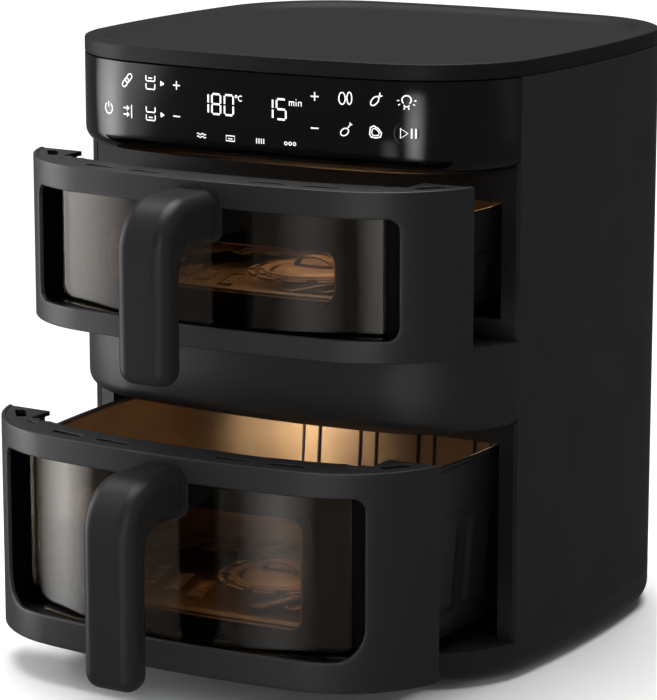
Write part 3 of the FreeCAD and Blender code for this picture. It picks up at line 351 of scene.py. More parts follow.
# the section as insets and levels: the wall, the narrow flat rim, then the roll into the tray
cap_section = [
    (2.2, CAP_LOW + 0.2), (0.5, CAP_LOW + 0.2), (0.1, CAP_LOW + 0.5), (0, CAP_LOW + 1.0), (0, CAP_TOP - 1.2),
    (0.35, CAP_TOP - 0.35), (1.2, CAP_TOP), (8.4, CAP_TOP), (10.0, CAP_TOP - 0.2), (12.0, CAP_TOP - 0.75),
    (14.5, CAP_TOP - 1.7), (17.5, CAP_TOP - 2.7), (21.0, CAP_TOP - 3.3), (25.0, TRAY), (26.0, TRAY),
]
around = outline()
# the same ABS painted darker than the rest, as painted shade, since its tray faces the light
shaded_top_abs = grained("spark_eroded_abs_painted_shade", "#111112", 0.5, 0.7, 0.012, **{"Specular IOR Level": 0.2})
piece_of("top_cap_moulding", [loft([ring_row(around, inset, level) for inset, level in cap_section])],
         [shaded_top_abs], "housing", ("top_cap",))

# ---------------------------------------------------------------- control fascia
# A bowed moulding of polished black acrylic across the top of the front, its lower edge rolled under.
# Touch marks are lit from behind it: two rows of signs, the temperature and the minutes.


def bow(line, section):
    """A moulding of one closed section that follows a line of the plan."""
    return loft([[(spot.x - out.x * inset, spot.y - out.y * inset, level) for inset, level in section]
                 for spot, out in line])


def roll(low, radius, count=8):
    """A rolled lower edge, from the face in to the underside."""
    turns = [step * math.pi / 2 / count for step in range(count + 1)]
    return [(radius * (1 - math.cos(turn)), low + radius * (1 - math.sin(turn))) for turn in turns]


PANEL_LOW, EDGE_ROLL, BACKING, INK_PROUD = 303.3, 9.0, 30.0, 0.06
front = front_line()
# acrylic, cast and polished: near-black, with a mirror gloss and one soft highlight at each bend
gloss_panel = grained("polished_black_acrylic", "#060607", 0.12, 3.0, 0.0006, 0.03)
panel_section = [
    (1.0, CAP_LOW - 0.3), (0.35, CAP_LOW - 0.45), (0, CAP_LOW - 0.9),
    *roll(PANEL_LOW, EDGE_ROLL), (BACKING, PANEL_LOW), (BACKING, CAP_LOW - 0.3),
]
piece_of("fascia_panel", [bow(front, panel_section)], [gloss_panel], "housing",
         ("control_fascia",))


def face_depth(across):
    """How far forward the front's outer face stands at one place across."""
    for (spot, out), (next_spot, next_out) in zip(front, front[1:]):
        if spot.x <= across <= next_spot.x:
            share = (across - spot.x) / (next_spot.x - spot.x)
            return spot.y + (next_spot.y - spot.y) * share
    return SEAM


def stroke(points, width=0.75, closed=False):
    """A printed line along points of the fascia, given across and up, as a flat ribbon on its face."""
    flat = [Vector(point) for point in points]
    count = len(flat)
    sides = []
    for place, spot in enumerate(flat):
        before = flat[place - 1] if place or closed else spot
        after = flat[(place + 1) % count] if place < count - 1 or closed else spot
        run = (after - before).normalized()
        aside = Vector((-run.y, run.x)) * width / 2
        sides.append((spot - aside, spot + aside))
    rows = [[(side.x, face_depth(side.x) - INK_PROUD, side.y) for side in pair] for pair in sides]
    if closed:
        rows.append(rows[0])
    return loft(rows, loop=False, caps=False)


def turn_points(centre, radius, start, end, count=14, squeeze=1.0):
    """Points along an arc, its angles in degrees."""
    steps = [math.radians(start + (end - start) * step / count) for step in range(count + 1)]
    return [(centre[0] + radius * math.cos(step), centre[1] + radius * squeeze * math.sin(step))
            for step in steps]


def shifted(points, across, up, lean=0.0):
    """Points turned by an angle in degrees and moved."""
    cosine, sine = math.cos(math.radians(lean)), math.sin(math.radians(lean))
    return [(across + x * cosine - y * sine, up + x * sine + y * cosine) for x, y in points]


def pill(half, radius):
    """A closed outline with round ends."""
    return turn_points((half, 0), radius, -90, 90, 8) + turn_points((-half, 0), radius, 90, 270, 8)


UPPER_ROW, LOWER_ROW = 346.2, 327.8
signs = []
# power, link, and both drawers at once
signs += [stroke(turn_points((-101.2, LOWER_ROW + 0.4), 3.3, 125, 415)),
          stroke([(-101.2, 329.0), (-101.2, 332.2)])]
for slip in (-1.7, 1.7):
    half_link = shifted(pill(1.5, 1.5), -85.2 + slip * 0.75, UPPER_ROW + slip * 0.8, 50)
    signs.append(stroke(half_link, 0.7, True))
for level in (LOWER_ROW + 1.9, LOWER_ROW - 1.9):
    signs.append(stroke([(-88.4, level), (-83.9, level)]))
    signs.append(stroke([(-85.6, level + 1.3), (-83.9, level), (-85.6, level - 1.3)]))
signs.append(stroke([(-82.0, LOWER_ROW - 3.9), (-82.0, LOWER_ROW + 3.9)]))
# upper and lower drawer, each with its arrow
for row, filled in ((UPPER_ROW, 1), (LOWER_ROW, -1)):
    for tier in (1, -1):
        low = row + (0.9 if tier > 0 else -3.9)
        signs.append(stroke([(-70.6, low + 3.2), (-70.6, low + 0.5), (-70.1, low), (-64.4, low),
                             (-63.9, low + 0.5), (-63.9, low + 3.2)]))
        if tier == filled:
            signs.append(stroke([(-68.7, low + 1.7), (-65.8, low + 1.7)]))
    signs.append(stroke([(-59.2, row), (-57.2, row)], 1.0))
    for step in range(4):
        across = -59.4 + step * 0.65
        reach = 1.45 * (1 - step / 4)
        signs.append(stroke([(across, row - reach), (across, row + reach)], 0.7))
# plus and minus of both numbers
for across in (-47.8, 46.2):
    signs.append(stroke([(across - 2.5, UPPER_ROW - 0.2), (across + 2.5, UPPER_ROW - 0.2)]))
    signs.append(stroke([(across, UPPER_ROW - 2.7), (across, UPPER_ROW + 2.3)]))
    signs.append(stroke([(across - 2.5, LOWER_ROW), (across + 2.5, LOWER_ROW)]))


def digit(number, across, low, wide=6.0, tall=11.6):
    """A seven-segment number, its lit bars a little apart."""
    half, gap, slim = tall / 2, 0.55, 1.15
    bars = {
        "a": ((0, tall), (wide, tall)), "b": ((wide, half), (wide, tall)),
        "c": ((wide, 0), (wide, half)), "d": ((0, 0), (wide, 0)), "e": ((0, 0), (0, half)),
        "f": ((0, half), (0, tall)), "g": ((0, half), (wide, half)),
    }
    lit = {0: "abcdef", 1: "bc", 5: "acdfg", 8: "abcdefg"}[number]
    shapes = []
    for bar in lit:
        start, end = (Vector(point) for point in bars[bar])
        run = (end - start).normalized()
        shapes.append(stroke([(across + spot.x, low + spot.y)
                              for spot in (start + run * gap, end - run * gap)], slim))
    return shapes


# the temperature and the minutes, each with its small unit
for number, across in ((1, -31.0), (8, -22.4), (0, -13.6), (1, 13.0), (5, 21.6)):
    signs += digit(number, across, 331.4)
signs.append(stroke(turn_points((-5.6, 342.6), 0.7, 0, 360, 8)[:-1], 0.5, True))
signs.append(stroke(turn_points((-2.6, 341.6), 1.5, 50, 310, 8), 0.6))
for points in ([(29.9, 339.6), (29.9, 342.2)], [(31.4, 339.6), (31.4, 342.2)],
               [(32.9, 339.6), (32.9, 342.2)], [(29.9, 342.0), (32.9, 342.0)],
               [(34.3, 339.6), (34.3, 342.2)], [(34.3, 343.1), (34.3, 343.6)],
               [(35.8, 339.6), (35.8, 342.2)], [(35.8, 342.0), (37.6, 342.0)],
               [(37.6, 339.6), (37.6, 342.2)]):
    signs.append(stroke(points, 0.5))
# food signs: greens, fish, lamp, drumstick, steak, then start and pause
# rounds by radius, squeeze, place and lean: the two greens, the fish's body and the drumstick's meat
for radius, squeeze, across, up, lean in (
        (2.0, 1.7, 63.4, UPPER_ROW - 0.3, 0), (1.5, 2.3, 67.9, UPPER_ROW, 0),
        (3.2, 0.55, 83.4, UPPER_ROW - 0.7, 48), (2.7, 0.7, 65.0, LOWER_ROW - 1.0, 35)):
    around_sign = turn_points((0, 0), radius, 0, 360, 16, squeeze)[:-1]
    signs.append(stroke(shifted(around_sign, across, up, lean), 0.7, True))
signs.append(stroke([(85.4, 348.2), (88.0, 348.6)], 0.7))
signs.append(stroke([(86.0, 347.6), (86.6, 350.4)], 0.7))
signs.append(stroke(turn_points((101.6, UPPER_ROW + 0.6), 2.5, -50, 230), 0.7))
signs.append(stroke([(100.2, 344.0), (100.4, 343.0), (102.8, 343.0), (103.0, 344.0)], 0.7))
for lean in (-150, -105, -75, -30, 0, 180):
    ray_out = Vector((math.cos(math.radians(lean)), math.sin(math.radians(lean))))
    hub = Vector((101.6, UPPER_ROW + 0.2))
    signs.append(stroke([tuple(hub + ray_out * 4.0), tuple(hub + ray_out * 5.2)], 0.6))
signs.append(stroke([(67.0, 329.2), (68.9, 331.6)], 0.7))
signs.append(stroke([(68.0, 332.2), (69.7, 331.0)], 0.7))
steak = [(80.4, 326.6), (80.9, 330.3), (82.9, 331.3), (85.6, 330.0),
         (87.6, 327.4), (87.0, 325.2), (84.0, 324.6), (81.2, 325.0)]
signs.append(stroke(steak, 0.8, True))
signs.append(stroke([(83.8 + (x - 83.8) * 0.62, 327.8 + (y - 327.8) * 0.62) for x, y in steak], 0.6, True))
signs.append(stroke([(98.4, 325.0), (98.4, 330.6), (102.4, 327.8)], 0.7, True))
signs += [stroke([(across, 325.0), (across, 330.6)], 0.8) for across in (104.4, 106.6)]
# four cooking ways, as plain marks: waves, a box, bars and drops
for lift in (0.0, 1.7):
    signs.append(stroke([(-33.2 + step * 0.8, 317.2 + lift + 0.5 * math.sin(step * 1.6))
                         for step in range(9)], 0.6))
signs.append(stroke([(-12.6, 316.4), (-12.6, 319.4), (-6.8, 319.4), (-6.8, 316.4)], 0.65, True))
signs.append(stroke([(-11.2, 317.7), (-8.2, 317.7)], 0.6))
signs += [stroke([(across, 316.4), (across, 319.4)], 0.7) for across in (8.2, 9.8, 11.4, 13.0)]
signs += [stroke(turn_points((across, 317.8), 0.9, 0, 360, 10)[:-1], 0.6, True)
          for across in (27.6, 30.4, 33.2)]

# white ink over a light guide: even, slightly warm white that gives off its own light
lit_mark, tree, output = blank_finish("backlit_white_print")
speck = add(tree, "TexNoise", {"Scale": 900.0, "Detail": 1.0})
level = add(tree, "MapRange", {"Value": (speck, "Fac"), "To Min": 0.85, "To Max": 1.0})
ink = add(tree, "BsdfPrincipled", {"Base Color": linear("#E8E8E6"), "Roughness": 0.4,
                                   "Emission Color": linear("#F4F3F0"),
                                   "Emission Strength": (level, "Result")})
tree.links.new(ink.outputs[0], output.inputs["Surface"])
piece_of("lit_signs", signs, [lit_mark], "housing")

# the start sign and the power sign each sit on a faintly raised round of the same acrylic
for name, across, level, radius in (("start_dimple", 101.4, LOWER_ROW, 7.0),
                                    ("power_dimple", -101.2, LOWER_ROW, 5.6)):
    rings = []
    for share, proud in ((1.0, 0.0), (0.93, 0.03), (0.86, 0.03)):
        points = turn_points((across, level), radius * share, 0, 360, 40)[:-1]
        rings.append([(x, face_depth(x) - proud, z) for x, z in points])
    piece_of(name, [loft(rings, caps=False)], [gloss_panel], "housing")

# ---------------------------------------------------------------- middle band
# The fixed front between the drawers, moulded in the base tray's grained ABS, also rolled under.

BAND_LOW, BAND_TOP = 151.6, 203.9
band_section = [
    (1.5, BAND_TOP), (0.4, BAND_TOP - 0.3), (0, BAND_TOP - 1.2),
    *roll(BAND_LOW, EDGE_ROLL), (BACKING, BAND_LOW), (BACKING, BAND_TOP),
]
piece_of("band_moulding", [bow(front, band_section)], [matt_abs], "housing",
         ("middle_band",))

# ---------------------------------------------------------------- front frame, bays and hot air units
# Behind the fronts stand a black moulded frame and two folded sheet bays; over each bay sits a hot air
# unit of guard, heater, fan, dome and motor, with a lamp, a temperature probe and a drawer switch.

# ABS, moulded smooth: dark inner plastic that hardly catches the light
inner_plastic = grained("smooth_black_abs", "#121213", 0.42, 0.9, 0.006)
# sheet steel, dark enamelled: the bay walls, black with a soft warm sheen
bay_enamel = grained("dark_enamelled_steel", "#151413", 0.38, 1.4, 0.01)
# sheet steel, hot-dip galvanised: mottled grey spangle
galvanised = grained("galvanised_sheet_steel", "#8F9294", 0.4, 6.0, 0.01, 0.2, Metallic=1.0)
# steel tube, oxide blackened in use
heater_tube = grained("oxidised_heater_steel", "#4A4440", 0.45, 1.0, 0.02, Metallic=1.0)
# aluminium, stamped: pale, slightly satin
aluminium = grained("stamped_aluminium", "#C4C6C8", 0.35, 0.8, 0.01, Metallic=1.0)
# steel, ground: the fan shaft and the temperature probe
ground_steel = grained("ground_steel", "#8A8B8D", 0.28, 0.5, 0.004, Metallic=1.0)
# sheet steel, painted: the motor's case, a plain dark grey
motor_paint = grained("painted_motor_case", "#2B2C2E", 0.5, 0.8, 0.01)
# glass-fibre board with a dark green lacquer
board_lacquer = grained("lacquered_circuit_board", "#12331F", 0.35, 1.2, 0.004)
# silicone, moulded: dull dark grey
silicone = grained("moulded_silicone", "#232324", 0.65, 1.0, 0.01)

dress("front_frame", inner_plastic, 0.4)
dress("touch_board", board_lacquer)
dress("power_board", board_lacquer)
dress("display_module", inner_plastic)

# glass over a small halogen lamp: a warm white glow that lights the bay
lamp_glass, tree, output = blank_finish("lit_lamp_glass")
swirl = add(tree, "TexNoise", {"Scale": 400.0})
warm = add(tree, "ValToRGB", {"Fac": (swirl, "Fac")})
warm.color_ramp.elements[0].color = linear("#FFD9A0")
warm.color_ramp.elements[1].color = linear("#FFEBC8")
glow = add(tree, "BsdfPrincipled", {"Base Color": (warm, "Color"), "Roughness": 0.2,
                                    "Emission Color": linear("#FFD9A0"), "Emission Strength": 6.0})
tree.links.new(glow.outputs[0], output.inputs["Surface"])

for tier in ("upper", "lower"):
    dress(f"{tier}_bay", bay_enamel)
    dress(f"{tier}_glide_strips", silicone, 0.3)
    dress(f"{tier}_heater_guard", galvanised)
    dress(f"{tier}_air_dome", galvanised, 0.4)
    dress(f"{tier}_heater", heater_tube)
    dress(f"{tier}_fan", aluminium, 0.3)
    dress(f"{tier}_fan_shaft", ground_steel)
    dress(f"{tier}_fan_motor", motor_paint, 0.5)
    dress(f"{tier}_bay_lamp", lamp_glass)
    dress(f"{tier}_temperature_probe", ground_steel)
    dress(f"{tier}_drawer_switch", inner_plastic)
    dress(f"{tier}_handle_screws", plated)

# ---------------------------------------------------------------- drawer fronts
# Each drawer front is a bowed skin of the grained ABS with a rounded window, and a separate deck
# plate along its top with short drain slots; a hair-thin seam parts the two.

TIERS = {
    "upper": {"low": 205.1, "high": 302.1, "window": (218.1, 287.0), "foot": 8.0, "view": (234.5, 263.5),
              "arm": 282.2, "pull": 55.05, "pan": (217.3, 280.5), "rise": 9.0, "grip": 192.5},
    "lower": {"low": 23.7, "high": 150.4, "window": (41.4, 136.0), "foot": 20.0, "view": (51.5, 116.5),
              "arm": 129.9, "pull": 92.27, "pan": (26.5, 137.8), "rise": 18.0, "grip": 25.1},
}
WINDOW_HALF, SKIN = 122.5, 2.4
SEAM_GAP, EDGE_GAP = 0.2, 0.3     # how far a closed front stays off the side skin, back and along


def lengths(line):
    """How far along a line each of its points lies, from its middle."""
    run, total = [0.0], 0.0
    for (spot, out), (next_spot, next_out) in zip(line, line[1:]):
        total += (next_spot - spot).length
        run.append(total)
    return [place - total / 2 for place in run]


run_along = lengths(front)
REACH = run_along[-1]


def on_front(along, inset, level, pull=0.0):
    """A place on the bowed front, by its distance along it from the middle."""
    along = max(-REACH, min(REACH, along))
    place = 0
    while place < len(run_along) - 2 and run_along[place + 1] < along:
        place += 1
    share = (along - run_along[place]) / (run_along[place + 1] - run_along[place])
    (spot, out), (next_spot, next_out) = front[place], front[place + 1]
    here, way = spot.lerp(next_spot, share), out.lerp(next_out, share)
    return (here.x - way.x * inset, min(here.y - way.y * inset, SEAM - SEAM_GAP) - pull, level)


def along_at(across):
    """The distance along the front to one place across."""
    for place, (spot, out) in enumerate(front[:-1]):
        next_spot = front[place + 1][0]
        if spot.x <= across <= next_spot.x:
            share = (across - spot.x) / (next_spot.x - spot.x)
            return run_along[place] + (run_along[place + 1] - run_along[place]) * share
    return REACH


def frame_loop(half, low, high, corner, foot, across=96, upright=26, bend=10):
    """A rounded rectangle seen from the front, anticlockwise from its lower left corner."""
    corners = (
        (half - foot, low + foot, foot, -90), (half - corner, high - corner, corner, 0),
        (-half + corner, high - corner, corner, 90), (-half + foot, low + foot, foot, 180),
    )
    counts = (across, upright, across, upright)
    points = []
    previous = corners[-1]
    for (x, z, radius, start), count in zip(corners, counts):
        px, pz, pr, ps = previous
        begin = Vector((px + pr * math.cos(math.radians(ps + 90)),
                        pz + pr * math.sin(math.radians(ps + 90))))
        finish = Vector((x + radius * math.cos(math.radians(start)),
                         z + radius * math.sin(math.radians(start))))
        points += [tuple(begin.lerp(finish, step / count)) for step in range(count)]
        points += turn_points((x, z), radius, start, start + 90, bend)[:-1]
        previous = (x, z, radius, start)
    return points


def bent_frame(hole, rim, depth, pull, edge=0.7, rings=16, inset=0.0):
    """A bowed plate with a window and rounded edges.

    hole and rim are (half, low, high, corner, foot), rings is the rows across the plate, and inset
    is how far its face lies behind the front.
    """
    def grown(sizes, by):
        half, low, high, corner, foot = sizes
        return frame_loop(half + by, low - by, high + by, max(corner + by, 0.05), max(foot + by, 0.05))

    def row(loop, back):
        return [on_front(x, inset + back, z, pull) for x, z in loop]

    def across(inner, outer, share, back):
        return row([(a[0] + (b[0] - a[0]) * share, a[1] + (b[1] - a[1]) * share)
                    for a, b in zip(inner, outer)], back)

    edge_turns = (math.pi / 6, math.pi / 3)
    rows = [row(grown(hole, 0), depth), row(grown(hole, 0), edge)]
    rows += [row(grown(hole, edge * (1 - math.cos(turn))), edge * (1 - math.sin(turn)))
             for turn in edge_turns]
    rows += [across(grown(hole, edge), grown(rim, -edge), step / rings, 0) for step in range(rings + 1)]
    rows += [row(grown(rim, -edge * (1 - math.sin(turn))), edge * (1 - math.cos(turn)))
             for turn in edge_turns]
    rows += [row(grown(rim, 0), edge), row(grown(rim, 0), depth)]
    rows += [across(grown(hole, 0), grown(rim, 0), 1 - step / rings, depth) for step in range(1, rings)]
    return loft(rows, ring=True)


def cut_plate(loops, low, high, edge=0.35):
    """A flat plate between two levels, from closed outlines: the rim's, then the holes'."""
    curve = bpy.data.curves.new("plate_outline", "CURVE")
    curve.dimensions = "2D"
    curve.fill_mode = "BOTH"
    curve.extrude = ((high - low) / 2 - edge) * MM
    curve.bevel_depth = edge * MM
    curve.bevel_resolution = 1
    curve.offset = -edge * MM
    for loop in loops:
        spline = curve.splines.new("POLY")
        spline.points.add(len(loop) - 1)
        for point, (x, y) in zip(spline.points, loop):
            point.co = (x * MM, y * MM, 0, 1)
        spline.use_cyclic_u = True
    holder = bpy.data.objects.new("plate_outline", curve)
    skin = bpy.data.meshes.new_from_object(holder)
    shape = bmesh.new()
    shape.from_mesh(skin)
    bmesh.ops.remove_doubles(shape, verts=shape.verts, dist=1e-7)
    bmesh.ops.translate(shape, verts=shape.verts, vec=(0, 0, (low + high) / 2 * MM))
    bpy.data.objects.remove(holder)
    bpy.data.curves.remove(curve)
    bpy.data.meshes.remove(skin)
    return crisp(shape, 12)


def oval(across, along, half, radius, lean):
    """A round-ended slot, its middle, half length, end radius and lean in degrees."""
    return shifted(pill(half, radius), across, along, lean)


DECK, DECK_SEAM, DECK_REAR = 3.0, 0.35, -94.0
deck_edge = [(spot.x - out.x * (SKIN + DECK_SEAM), spot.y - out.y * (SKIN + DECK_SEAM))
             for spot, out in front_line(DECK_REAR)]
# the right half of the deck's rear edge, from its corner past the hooked catch to the middle
deck_back = [(116.5, DECK_REAR), (116.5, -112.5), (114.5, -113.2), (110.0, -112.6), (107.5, -116.8),
             (100.5, -115.2), (97.5, -116.5), (84.0, -120.0), (50.0, -125.4), (0.0, -127.0)]
deck_back += [(-x, y) for x, y in reversed(deck_back[:-1])]
# its slots on the right, each by its middle, half length, end radius and lean
DECK_SLOTS = ((128.6, -106.5, 6.5, 3.1, 52), (74.8, -135.0, 9.0, 2.3, 8.4),
              (41.0, -138.2, 9.4, 2.0, 4.2), (109.5, -121.4, 3.6, 1.1, 22))
slots = [oval(side * across, along, half, radius, side * lean)
         for side in (1, -1) for across, along, half, radius, lean in DECK_SLOTS]

for tier, sizes in TIERS.items():
    low, high, pull = sizes["low"], sizes["high"], sizes["pull"]
    window = (along_at(WINDOW_HALF), *sizes["window"], 8.0, sizes["foot"])
    skin = bent_frame(window, (REACH - EDGE_GAP, low, high, 1.2, 1.2), SKIN, pull)
    deck = cut_plate([[(x, y - pull) for x, y in loop] for loop in [deck_edge + deck_back] + slots],
                     high - DECK, high - 0.15)
    sole = cut_plate([[(x, y - pull) for x, y in deck_edge + deck_back]], low + 0.1, low + DECK)
    # the tab that hangs into the window's top and carries the handle's root
    boss = frame_loop(18.2, sizes["arm"] - 15.4, sizes["window"][1] + 2.0, 1.0, 8.0, 24, 12, 8)
    tab = loft([[on_front(x * share, inset, z, pull) for x, z in boss]
                for share, inset in ((1.0, SKIN + 0.4), (1.0, 0.5), (0.99, 0.1), (0.965, 0.0))])
    piece_of(f"{tier}_front_moulding", [skin, deck, sole, tab], [matt_abs], f"{tier}_drawer",
             (f"{tier}_drawer_front",))

# ---------------------------------------------------------------- windows
# Behind each opening: a black bezel, a bowed smoked outer pane, and a dark liner that holds a clear
# inner pane in front of the basket.



def glass_of(name, tone, ripple, haze, index):
    """A glass by its tone, how often its haze comes and goes, the haze's roughness and its index."""
    glass, tree, output = blank_finish(name)
    film = add(tree, "TexNoise", {"Scale": ripple, "Detail": 2.0})
    dull = add(tree, "MapRange", {"Value": (film, "Fac"), "To Min": 0.0, "To Max": haze})
    pane = add(tree, "BsdfPrincipled", {"Base Color": linear(tone), "Roughness": (dull, "Result"),
                                        "IOR": index, "Transmission Weight": 1.0})
    tree.links.new(pane.outputs[0], output.inputs["Surface"])
    return glass


# glass, tempered and body-tinted: warm grey, with a clean reflection
smoked = glass_of("smoked_tempered_glass", "#9C8B78", 12.0, 0.012, 1.3)
# glass, float, with a coat against reflections, so that it doesn't double the outer pane's
clear = glass_of("clear_float_glass", "#F2EEE6", 20.0, 0.02, 1.06)
# PBT, moulded smooth and black: takes no highlight behind the glass
bezel_plastic = grained("moulded_black_pbt", "#060606", 0.55, 1.6, 0.0, **{"Specular IOR Level": 0.15})

for tier in TIERS:
    dress(f"{tier}_window_bezel", bezel_plastic, 0.3)
    dress(f"{tier}_drawer_liner", bezel_plastic)
    dress(f"{tier}_window_glass", smoked)
    dress(f"{tier}_inner_glass", clear)

# ---------------------------------------------------------------- handles
# A bent grip in two halves of ABS with a soft-touch coat, parted along its side, on a thin root plate.

# soft-touch lacquer over ABS: a dull black with a broad, low sheen
soft_touch = grained("soft_touch_lacquer", "#202021", 0.42, 0.6, 0.006, **{"Specular IOR Level": 0.22})
for tier in TIERS:
    dress(f"{tier}_handle_shell", soft_touch, 0.35)
    dress(f"{tier}_handle_back", soft_touch, 0.35)
    dress(f"{tier}_handle_plate", matt_abs, 0.3)

# ---------------------------------------------------------------- baskets
# A deep-drawn steel pan with leaning walls: bronze non-stick coating inside, black enamel outside, a
# rolled black rim, pressed panels in its sides, ribs up its back wall and a framed view in its front.

PAN_REAR, PAN_INSET, PAN_DRAFT, PAN_WALL = 122.5, 25.5, 8.5, 1.2
PAN_BEND, BEND_STEPS, WALL_STEPS = 11.0, 6, 44
REAR_CURVE = 1570.0       # twice the radius of the pan's back wall
VIEW_HALF = 78.0

# ceramic non-stick on drawn steel: warm bronze metal flake with a satin gloss
bronze, tree, output = blank_finish("bronze_nonstick_coating")
place = add(tree, "TexCoord")
flake = add(tree, "TexNoise", {"Vector": (place, "Object"), "Scale": 1500.0, "Detail": 2.0})
cloud = add(tree, "TexNoise", {"Vector": (place, "Object"), "Scale": 18.0, "Detail": 3.0})
tone = add(tree, "ValToRGB", {"Fac": (cloud, "Fac")})
tone.color_ramp.elements[0].position = 0.35
tone.color_ramp.elements[1].position = 0.7
tone.color_ramp.elements[0].color = linear("#8A6E52")
tone.color_ramp.elements[1].color = linear("#A58A66")
gloss = add(tree, "MapRange", {"Value": (cloud, "Fac"), "From Min": 0.3, "From Max": 0.7,
                               "To Min": 0.38, "To Max": 0.5})
lift = add(tree, "Bump", {"Height": (flake, "Fac"), "Distance": 0.008 * MM, "Strength": 1.0})
coat = add(tree, "BsdfPrincipled", {"Base Color": (tone, "Color"), "Metallic": 0.35,
                                    "Roughness": (gloss, "Result"), "Normal": (lift, "Normal")})
tree.links.new(coat.outputs[0], output.inputs["Surface"])
# the same coating on the pressed plate, rougher from use and darker
worn_bronze = grained("worn_bronze_coating", "#8A6A47", 0.52, 0.5, 0.004, 0.16, Metallic=0.25)
# vitreous enamel on the same steel, fired black
pan_enamel = grained("black_fired_enamel", "#1D1D1E", 0.34, 1.2, 0.006)


def smooth_step(value, low, high):
    """Nought below low, one above high, and a soft rise between."""
    share = max(0.0, min(1.0, (value - low) / (high - low)))
    return share * share * (3 - 2 * share)


def pressing(spot, out, level, foot, rim):
    """How far the pan's side stands out at one place: four pressed panels between two beads."""
    if abs(out.x) < 0.8:
        return 0.0
    inside = 0.0
    tall = (rim - foot) * 0.24
    for middle, half in ((-3.5, 14.5), (37.0, 14.0), (77.0, 14.0), (-44.0, 14.0)):
        across = 1 - smooth_step(abs(spot.y - middle), half - 2.2, half)
        upright = 1 - smooth_step(abs(level - (foot + rim) / 2 + 8), tall - 2.2, tall)
        inside = max(inside, across * upright)
    beads = sum(math.exp(-((level - bead) / 1.2) ** 2) for bead in (rim - 28.0, foot + 7.5))
    return 1.1 * inside + 0.7 * beads


def coated(shape):
    """The same shape, all in its piece's second finish."""
    for face in shape.faces:
        face.material_index = 1
    return shape


for tier, sizes in TIERS.items():
    (foot, rim), pull = sizes["pan"], sizes["pull"]
    view_low, view_high = sizes["view"]
    pan = outline(PAN_REAR, 2.2)

    def lean(level):
        return PAN_INSET + PAN_DRAFT * (rim - level) / (rim - foot)

    wall_low, wall_high = foot + 12.0, rim - 3.0
    levels = [wall_low + (wall_high - wall_low) * step / WALL_STEPS for step in range(WALL_STEPS + 1)]
    corner = [math.radians(90 * step / BEND_STEPS) for step in range(BEND_STEPS)]
    # outside, from the middle of the floor up the pressed wall
    rows = [ring_row(pan, 60.0, foot, pull)]
    rows += [ring_row(pan, PAN_INSET + PAN_DRAFT + PAN_BEND * (1 - math.sin(turn)),
                      foot + PAN_BEND * (1 - math.cos(turn)), pull) for turn in corner]
    for level in levels:
        row = []
        for spot, out in pan:
            inset = lean(level) - pressing(spot, out, level, foot, rim)
            row.append((spot.x - out.x * inset, spot.y - out.y * inset - pull, level))
        rows.append(row)
    # over the rolled rim, then down the smooth inside
    rows += [ring_row(pan, PAN_INSET + shift, level, pull) for shift, level in
             ((0.1, rim - 2.8), (-0.4, rim - 2.4), (-0.9, rim - 1.4), (-0.6, rim - 0.4), (0.2, rim),
              (1.6, rim), (2.4, rim - 0.5), (2.6, rim - 1.6))]
    lipped = len(rows)
    rows += [ring_row(pan, lean(level) + PAN_WALL, level, pull) for level in reversed(levels)]
    inner_bend = PAN_BEND - 1.0
    rows += [ring_row(pan, PAN_INSET + PAN_DRAFT + PAN_WALL + inner_bend * (1 - math.sin(turn)),
                      foot + PAN_WALL + inner_bend * (1 - math.cos(turn)), pull)
             for turn in reversed(corner)]
    rows.append(ring_row(pan, 60.0, foot + PAN_WALL, pull))
    body = loft(rows, paint=lambda place: 0 if place < lipped - 1 else 1)
    # the view: a hole in the front wall, framed by a collar, with a stepped sill along its foot
    through = []
    for face in body.faces:
        spot = face.calc_center_median() / MM
        if (spot.y < SEAM - 5 - pull and abs(spot.x) < VIEW_HALF + 1.5
                and view_low - 1.5 < spot.z < view_high + 1.5):
            through.append(face)
    bmesh.ops.delete(body, geom=through, context="FACES")
    view = (along_at(VIEW_HALF + 0.6), view_low - 0.6, view_high + 0.6, 8.0, 8.0)
    collar_rim = (view[0] + 3.4, view[1] - 3.4, view[2] + 3.4, 11.0, 11.0)
    collar = coated(bent_frame(view, collar_rim, 1.8, pull, 0.5, 3, 24.6))
    sill = [(23.2, view_low + 0.4), (25.6, view_low + 0.4), (25.8, view_low - 1.2),
            (26.8, view_low - 1.2), (27.0, view_low + 1.3), (34.0, view_low + 1.3),
            (34.0, view_low - 3.0), (23.2, view_low - 3.0)]
    sill = coated(loft([[(spot.x - out.x * inset, spot.y - out.y * inset - pull, level)
                         for inset, level in sill]
                        for spot, out in front if abs(spot.x) < VIEW_HALF + 1]))
    # thin black ribs in pairs up the back wall
    ribs = []
    for middle in (-45.7, -4.9, 37.3, 78.5):
        for slip in (-5.8, 5.8):
            across = middle + slip
            back = PAN_REAR - PAN_INSET - 0.6 - middle**2 / REAR_CURVE
            ribs.append(loft([[(across + math.cos(turn),
                                back - PAN_DRAFT * (rim - level) / (rim - foot) - PAN_WALL - pull
                                + 0.9 * math.sin(turn), level)
                               for turn in [math.pi * 2 * step / 10 for step in range(10)]]
                              for level in (foot + 14.0, rim - 4.0)]))
    piece_of(f"{tier}_basket_pan", [body, collar, sill] + ribs, [pan_enamel, bronze], f"{tier}_drawer",
             (f"{tier}_basket",))

# ---------------------------------------------------------------- crisper plates
# A pressed plate in a worn coat of the same bronze, on four silicone bumpers: square drain holes in
# slanted threes, each three in a raised frame, curved slots in rings, and a round boss with a tab.

PLATE, PLATE_CENTRE, COLUMN_STEP, HOLE_STEP = 1.5, -17.0, 20.0, 9.0
# the curved slots' rings: radius, degrees from one slot to the next, and each slot's length
SLOT_RINGS = ((34.0, 30, 19), (40.0, 30, 19), (92.0, 15, 8), (98.0, 15, 8))
SLOT_WIDTH = 2.2
